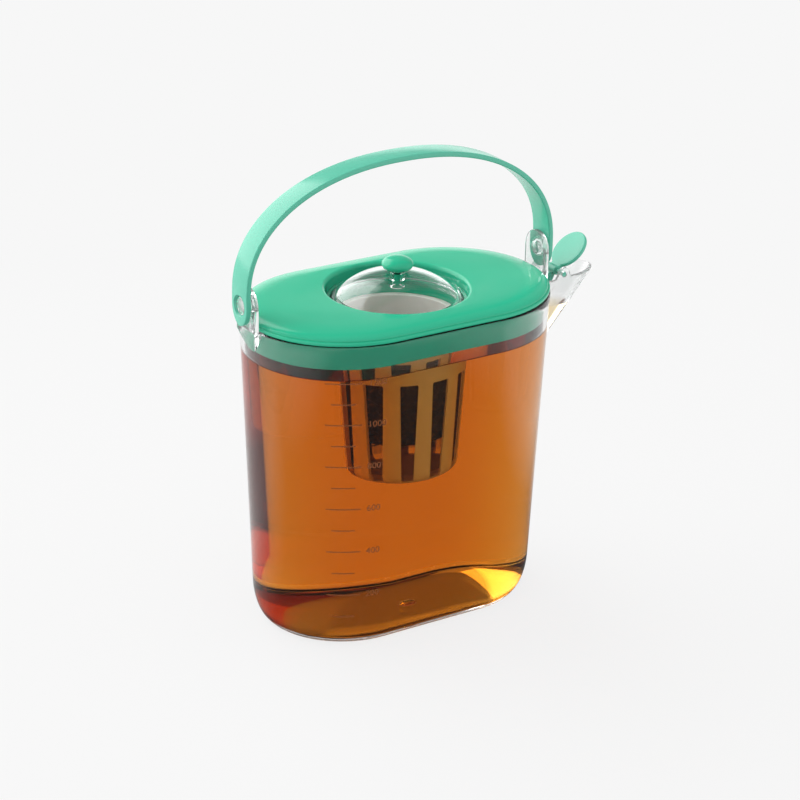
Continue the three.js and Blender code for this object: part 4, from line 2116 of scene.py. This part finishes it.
@dataclass
class Flap:
    """Green flap on the spout, with its knuckle, pins and tail."""

    jug: Jug
    half_length: float = 9.8 * MM
    half_width: float = 9 * MM
    thickness: float = 1.8 * MM
    start: float = 2.1 * MM
    dish: float = 0.35 * MM
    edge_round: float = 0.6 * MM
    knuckle_radius: float = 2.1 * MM
    knuckle_half_length: float = 3.6 * MM
    tail_length: float = 6.3 * MM
    tail_half_width: float = 1.6 * MM
    tail_thickness: float = 2.4 * MM
    tail_drop: float = math.radians(22)
    opened: float = math.radians(39.5)
    block_edge: float = 0.45 * MM
    bar_radius_to_edge: float = 6
    dish_shares: tuple[float, ...] = (0.15, 0.35, 0.6, 0.8)

    def leaf(self) -> Object:
        """Oval leaf with a rounded edge and a faint dish on top.

        Returns:
            The leaf.
        """
        under = GAP - self.jug.hinge_rise
        middle = self.start + self.half_length
        around = arc(0, TURN, steps=96)[:-1]

        def ring(inset: float, height: float) -> Ring:
            """One oval, drawn in by an inset."""
            length, width = self.half_length - inset, self.half_width - inset
            return [Vector((middle + length * cosine, width * sine, height)) for cosine, sine in around]

        edge = self.edge_round
        rings = [[Vector((middle, 0, under))]]
        for cosine, sine in arc(-QUARTER, 0, steps=6):
            rings.append(ring(edge * (1 - cosine), under + edge * (1 + sine)))
        for cosine, sine in arc(0, QUARTER, steps=6):
            rings.append(ring(edge * (1 - cosine), under + self.thickness - edge * (1 - sine)))
        for share in self.dish_shares:
            inset = between(edge, min(self.half_length, self.half_width), share)
            rings.append(ring(inset, under + self.thickness - self.dish * math.sin(share * QUARTER)))
        rings.append([Vector((middle, 0, under + self.thickness - self.dish))])
        return skin("flap_leaf", rings)

    def bar(self, radius: float, half_length: float) -> Object:
        """Round bar along Y through the hinge.

        Args:
            radius: Its radius.
            half_length: Half of its length.

        Returns:
            The bar.
        """
        edge = radius / self.bar_radius_to_edge
        profile = [(0, -half_length), (radius - edge, -half_length), (radius, -half_length + edge)]
        profile += [(radius, half_length - edge), (radius - edge, half_length), (0, half_length)]
        return moved(turned("bar", profile, steps=48), Matrix.Rotation(QUARTER, 4, "X"))

    def block(self, length: float, half_width: float, thickness: float) -> Object:
        """Softened block from the hinge towards +X.

        Args:
            length: Its length.
            half_width: Half of its width.
            thickness: Its thickness.

        Returns:
            The block.
        """
        side = [(0, -thickness / 2), (length, -thickness / 2), (length, thickness / 2), (0, thickness / 2)]
        made = prism("block", side, -half_width, half_width, "y")
        soften(made, self.block_edge)
        return made

    def build(self, plastic: Material) -> None:
        """Makes the flap, turned open about its hinge.

        Args:
            plastic: Its finish.
        """
        flap = self.leaf()
        middle = GAP - self.jug.hinge_rise + self.thickness / 2
        root = self.block(self.start + self.knuckle_radius, self.knuckle_half_length, self.thickness)
        join(flap, moved(root, Matrix.Translation((0, 0, middle))), Join.ADD)
        join(flap, self.bar(self.knuckle_radius, self.knuckle_half_length), Join.ADD)
        join(flap, self.bar(self.jug.pin_radius, self.jug.mouth_half_width - GAP), Join.ADD)
        tail = self.block(self.tail_length, self.tail_half_width, self.tail_thickness)
        join(flap, moved(tail, Matrix.Rotation(math.pi - self.tail_drop, 4, "Y")), Join.ADD)
        slope = math.atan(self.jug.mouth_slope)
        turn = Matrix.Rotation(-slope - self.opened, 4, "Y")
        moved(flap, Matrix.Translation(self.jug.hinge) @ turn)
        weld(flap)
        shade(flap)
        finish(flap, Body.FLAP, plastic, ["spout_flap"])


@dataclass(frozen=True)
class Window:
    """Bright pane in the world's walls, by its edges' bearings and heights."""

    light: Colour
    right: float
    left: float
    top: float
    bottom: float | None = None
    blur: float = math.radians(3)

    def share(self, shader: Shader, bearing: NodeSocket, rise: NodeSocket) -> NodeSocket:
        """Share of the pane in what a direction shows.

        Args:
            shader: The world's tree.
            bearing: Bearing of the direction.
            rise: Upright part of the direction.

        Returns:
            The share's socket.
        """
        inside = [
            shader.ramp(bearing, self.right, self.right + self.blur),
            shader.ramp(bearing, self.left, self.left - self.blur),
            shader.ramp(rise, math.sin(self.top), math.sin(self.top - self.blur)),
        ]
        if self.bottom is not None:
            inside.append(shader.ramp(rise, math.sin(self.bottom), math.sin(self.bottom + self.blur)))
        return shader.product(*inside)


@dataclass(frozen=True)
class Lamp:
    """Soft rectangular lamp that lights matt surfaces; gloss and glass see the world's windows.

    Radiance is the brightness of its face, where 1 is white.
    """

    name: str
    place: tuple[float, float, float]
    size: tuple[float, float]
    radiance: float

    def build(self, aim: Vector) -> None:
        """Makes the lamp.

        Args:
            aim: Point that it faces.
        """
        data = bpy.data.lights.new(self.name, "AREA")
        data.shape = "RECTANGLE"
        data.size, data.size_y = self.size
        data.energy = self.radiance * math.pi * self.size[0] * self.size[1]
        made = linked(self.name, data)
        made.location = self.place
        made.rotation_euler = (aim - made.location).to_track_quat("-Z", "Y").to_euler()
        made.visible_camera = False
        made.visible_glossy = False


@dataclass
class Studio:
    """Pale floor, soft lamps, the room's world and the camera.

    The room's light runs from front to back between two values of Y of a direction.
    """

    azimuth: float = math.radians(-31.979)
    elevation: float = math.radians(23.623)
    roll: float = math.radians(1.172)
    distance: float = 1108.53 * MM
    aim_right: float = 2.3735 * MM
    aim_height: float = 99.499 * MM
    focal_share: float = 2408.48 / 800
    sensor: float = 36.0
    floor_size: float = 12.0
    floor_drop: float = 0.3 * MM
    # Footprint of the painted shadow under the jug that rays through the tea see.
    foot_half_length: float = 66 * MM
    foot_half_width: float = 40 * MM
    foot_blur: float = 0.15
    paper: float = 0.93
    card: Colour = (0.75, 0.75, 0.75)
    # Dark card that reflections see on the floor in front of the jug: painted shade.
    front_shade_card: Colour = (0.16, 0.16, 0.16)
    shadow: float = 0.13
    shadow_start: float = 0.1
    shadow_end: float = 0.5
    sweep_bottom: float = math.radians(11)
    sweep_top: float = math.radians(18)
    side_front: float = -0.6
    side_back: float = 0.4
    front: Colour = (0.5, 0.5, 0.5)
    back: Colour = (0.36, 0.36, 0.365)
    horizon: Colour = (1.35, 1.35, 1.35)
    front_fill: Colour = (0.92, 0.92, 0.92)
    back_fill: Colour = (0.48, 0.48, 0.48)
    # Colour of the painted shadow under the jug, which is lit only through the tea.
    tea_shadow_colour: Colour = (0.4, 0.13, 0.095)
    # Bounds of the floor that reflections see as painted light, behind and at the sides; in front they see
    # painted shade.
    back_end: float = 80 * MM
    right_start: float = 155 * MM
    right_end: float = 240 * MM
    left_start: float = -230 * MM
    left_end: float = -350 * MM
    right_window: Window = Window(
        (0.46, 0.46, 0.46), right=math.radians(-20), left=math.radians(42), top=math.radians(38)
    )
    left_window: Window = Window(
        (2.4, 2.4, 2.4), math.radians(78), math.radians(158), math.radians(58), bottom=math.radians(-8)
    )
    lamps: tuple[Lamp, ...] = (
        Lamp("overhead_panel", (-0.2, 0.35, 1.2), (1.9, 1.9), 0.42),
        Lamp("right_panel", (1.3, -0.45, 0.55), (1.3, 1.1), 0.8),
        Lamp("window_panel", (-0.7, 1.26, 0.8), (2.6, 1.8), 2.4),
    )
    bounces: int = 24
    clear_bounces: int = 16

    def camera(self) -> None:
        """Places the camera at the photograph's viewing angle."""
        back = Vector((
            math.sin(self.azimuth) * math.cos(self.elevation),
            -math.cos(self.azimuth) * math.cos(self.elevation),
            math.sin(self.elevation),
        ))
        right = Vector((math.cos(self.azimuth), math.sin(self.azimuth), 0))
        up = back.cross(right)
        place = right * self.aim_right + Vector((0, 0, self.aim_height)) + back * self.distance
        turn = Matrix.Rotation(self.roll, 3, back)
        axes = Matrix((turn @ right, turn @ up, back)).transposed()
        data = bpy.data.cameras.new("camera")
        data.sensor_width = self.sensor
        data.lens = self.sensor * self.focal_share
        made = linked("camera", data)
        made.matrix_world = Matrix.Translation(place) @ axes.to_4x4()
        bpy.context.scene.camera = made

    def world(self) -> None:
        """Dim room with a bright window behind on the left, over a pale sweep."""
        shader = Shader(bpy.data.worlds.new("studio"))

        def light(colour: object) -> NodeSocket:
            """Even light of a colour or of a colour's socket."""
            return shader.node("Background", Color=colour).outputs[0]

        path = shader.node("LightPath").outputs
        x, y, rise = shader.axes(shader.node("TexCoord").outputs["Generated"])
        bearing = shader.maths("ARCTAN2", y, x)
        side = shader.ramp(y, self.side_front, self.side_back)
        paper = light((self.paper, self.paper, self.paper, 1))
        shone = shader.product(shader.ramp(path["Glossy Depth"], 0.0, 1.0), side)
        sweep = shader.mix(shone, paper, light((*self.horizon, 1)))
        low = shader.ramp(rise, math.sin(self.sweep_top), math.sin(self.sweep_bottom))
        around = shader.mix(low, light(shader.blend(side, self.front, self.back)), sweep)
        for window in (self.right_window, self.left_window):
            around = shader.mix(window.share(shader, bearing, rise), around, light((*window.light, 1)))
        fill = light(shader.blend(side, self.front_fill, self.back_fill))
        lit = shader.mix(shader.ramp(path["Diffuse Depth"], 0.0, 1.0), around, fill)
        bpy.context.scene.world = shader.surface(shader.mix(path["Is Camera Ray"], lit, paper))

    def floor(self) -> None:
        """Pale floor with a soft shadow; tea and gloss see painted shadow and light on it."""
        corners = [Vector((x, y, -self.floor_drop)) for x, y in square(self.floor_size / 2)]
        made = solid_from("floor", corners, [(0, 1, 2, 3)])
        shader = Shader(bpy.data.materials.new("paper_floor"))
        path = shader.node("LightPath").outputs
        x, y, _ = shader.axes(shader.place())
        card = shader.node("BsdfDiffuse", Color=(*self.card, 1)).outputs[0]
        painted_front_shade = shader.node("BsdfDiffuse", Color=(*self.front_shade_card, 1)).outputs[0]
        glow = shader.node("Emission", Color=(1, 1, 1, 1), Strength=self.paper).outputs[0]
        # Painted shadow under the jug, tinted by the tea, for rays that come through it.
        painted_tea_shadow = shader.node("Emission", Color=(*self.tea_shadow_colour, 1), Strength=1.0).outputs[0]
        away = shader.length(shader.place())
        near = shader.ramp(away, self.shadow_start, self.shadow_end, self.shadow, 0.0)
        paper = shader.mix(near, glow, card)
        # Footprint of the painted shadow under the jug.
        scaled = shader.node("VectorMath", {"operation": "MULTIPLY"}, Vector=shader.place())
        scaled.inputs[1].default_value = (1 / self.foot_half_length, 1 / self.foot_half_width, 0)
        under = shader.ramp(shader.length(scaled.outputs["Vector"]), 1.0, 1.0 - self.foot_blur)
        # Reflections see painted light on the floor behind and at the sides, and painted shade in front.
        behind = shader.ramp(y, 0.0, self.back_end)
        right = shader.ramp(x, self.right_start, self.right_end)
        left = shader.ramp(x, self.left_start, self.left_end)
        bright = shader.maths("MAXIMUM", shader.maths("MAXIMUM", behind, right), left)
        mirrored = shader.mix(
            shader.ramp(path["Glossy Depth"], 0.0, 1.0),
            shader.mix(under, paper, painted_tea_shadow),
            shader.mix(bright, painted_front_shade, glow),
        )
        base = shader.mix(shader.ramp(path["Diffuse Depth"], 0.0, 1.0), mirrored, card)
        made.data.materials.append(shader.surface(shader.mix(path["Is Camera Ray"], base, paper)))

    def build(self) -> None:
        """Sets up everything round the object."""
        scene = bpy.context.scene
        scene.view_settings.view_transform = "Standard"
        scene.cycles.max_bounces = self.bounces
        scene.cycles.transmission_bounces = self.bounces
        scene.cycles.transparent_max_bounces = self.clear_bounces
        self.camera()
        for lamp in self.lamps:
            lamp.build(Vector((0, 0, self.aim_height)))
        self.world()
        self.floor()


class Finishes:
    """Every finish of the object, made once."""

    def __init__(self) -> None:
        """Makes the materials."""
        self.green = MouldedPlastic("jade_plastic", (0.022, 0.45, 0.26)).build()
        # Painted light: a lighter copy of the jade plastic for the thin handle and flap stands in for light
        # shining through them, and its raised index brightens their reflections.
        self.lit_green = MouldedPlastic("lit_jade_plastic", (0.085, 0.46, 0.32), refraction=1.62).build()
        self.clear = ClearPlastic("clear_shell").build()
        self.cover = ClearPlastic("clear_cover", rough=0.03, refraction=1.42, lets_light_in=True).build()
        self.frosted = FrostedPlastic("natural_plastic", (1.0, 0.93, 0.87), soak=0.12).build()
        self.brew = Brew("amber_tea", (0.909, 0.652, 0.06), density=66).build()
        self.hazy = ClearPlastic("hazy_shell", smooth=0.08, rough=0.16, haze=0.16).build()
        self.edge_lit = ClearPlastic("foot_edge_shell", smooth=0.2, rough=0.3, haze=0.45).build()
        wetted = ClearPlastic.refraction / Brew.refraction
        self.wetted = ClearPlastic("wetted_shell", refraction=wetted).build()
        self.wire = DullStuff("mesh_wire", (0.065, 0.05, 0.04), (0.15, 0.12, 0.1), scale=400).build()
        self.leaf = DullStuff(
            "wet_leaf", (0.024, 0.014, 0.009), (0.085, 0.05, 0.028), scale=500, rough=0.45
        ).build()
        # Dark brown on the clear raised marks: painted shade standing in for the tea seen through them.
        self.painted_mark_shade = DullStuff("raised_marks", (0.19, 0.052, 0.011), (0.26, 0.082, 0.018), scale=800).build()

    @property
    def jug(self) -> tuple[Material, ...]:
        """Finishes of the jug's kinds of face, in their order."""
        return self.clear, self.wetted, self.hazy, self.edge_lit


def main() -> None:
    """Builds the studio and every sub-assembly in order."""
    logging.basicConfig(level=logging.INFO, format="%(message)s")
    Studio().build()
    finishes = Finishes()
    jug = Jug(Outline())
    lid = Lid(jug)
    tea = Tea(jug)
    jug.build(finishes.jug, tea)
    Scale(jug).build(finishes.painted_mark_shade)
    tea.build(finishes.brew)
    Handle(jug).build(finishes.lit_green)
    lid.build(finishes.green)
    Infuser(lid).build(finishes.frosted, finishes.wire, finishes.leaf)
    Cover(lid).build(finishes.cover, finishes.green)
    Flap(jug).build(finishes.lit_green)


if __name__ == "__main__":
    main()
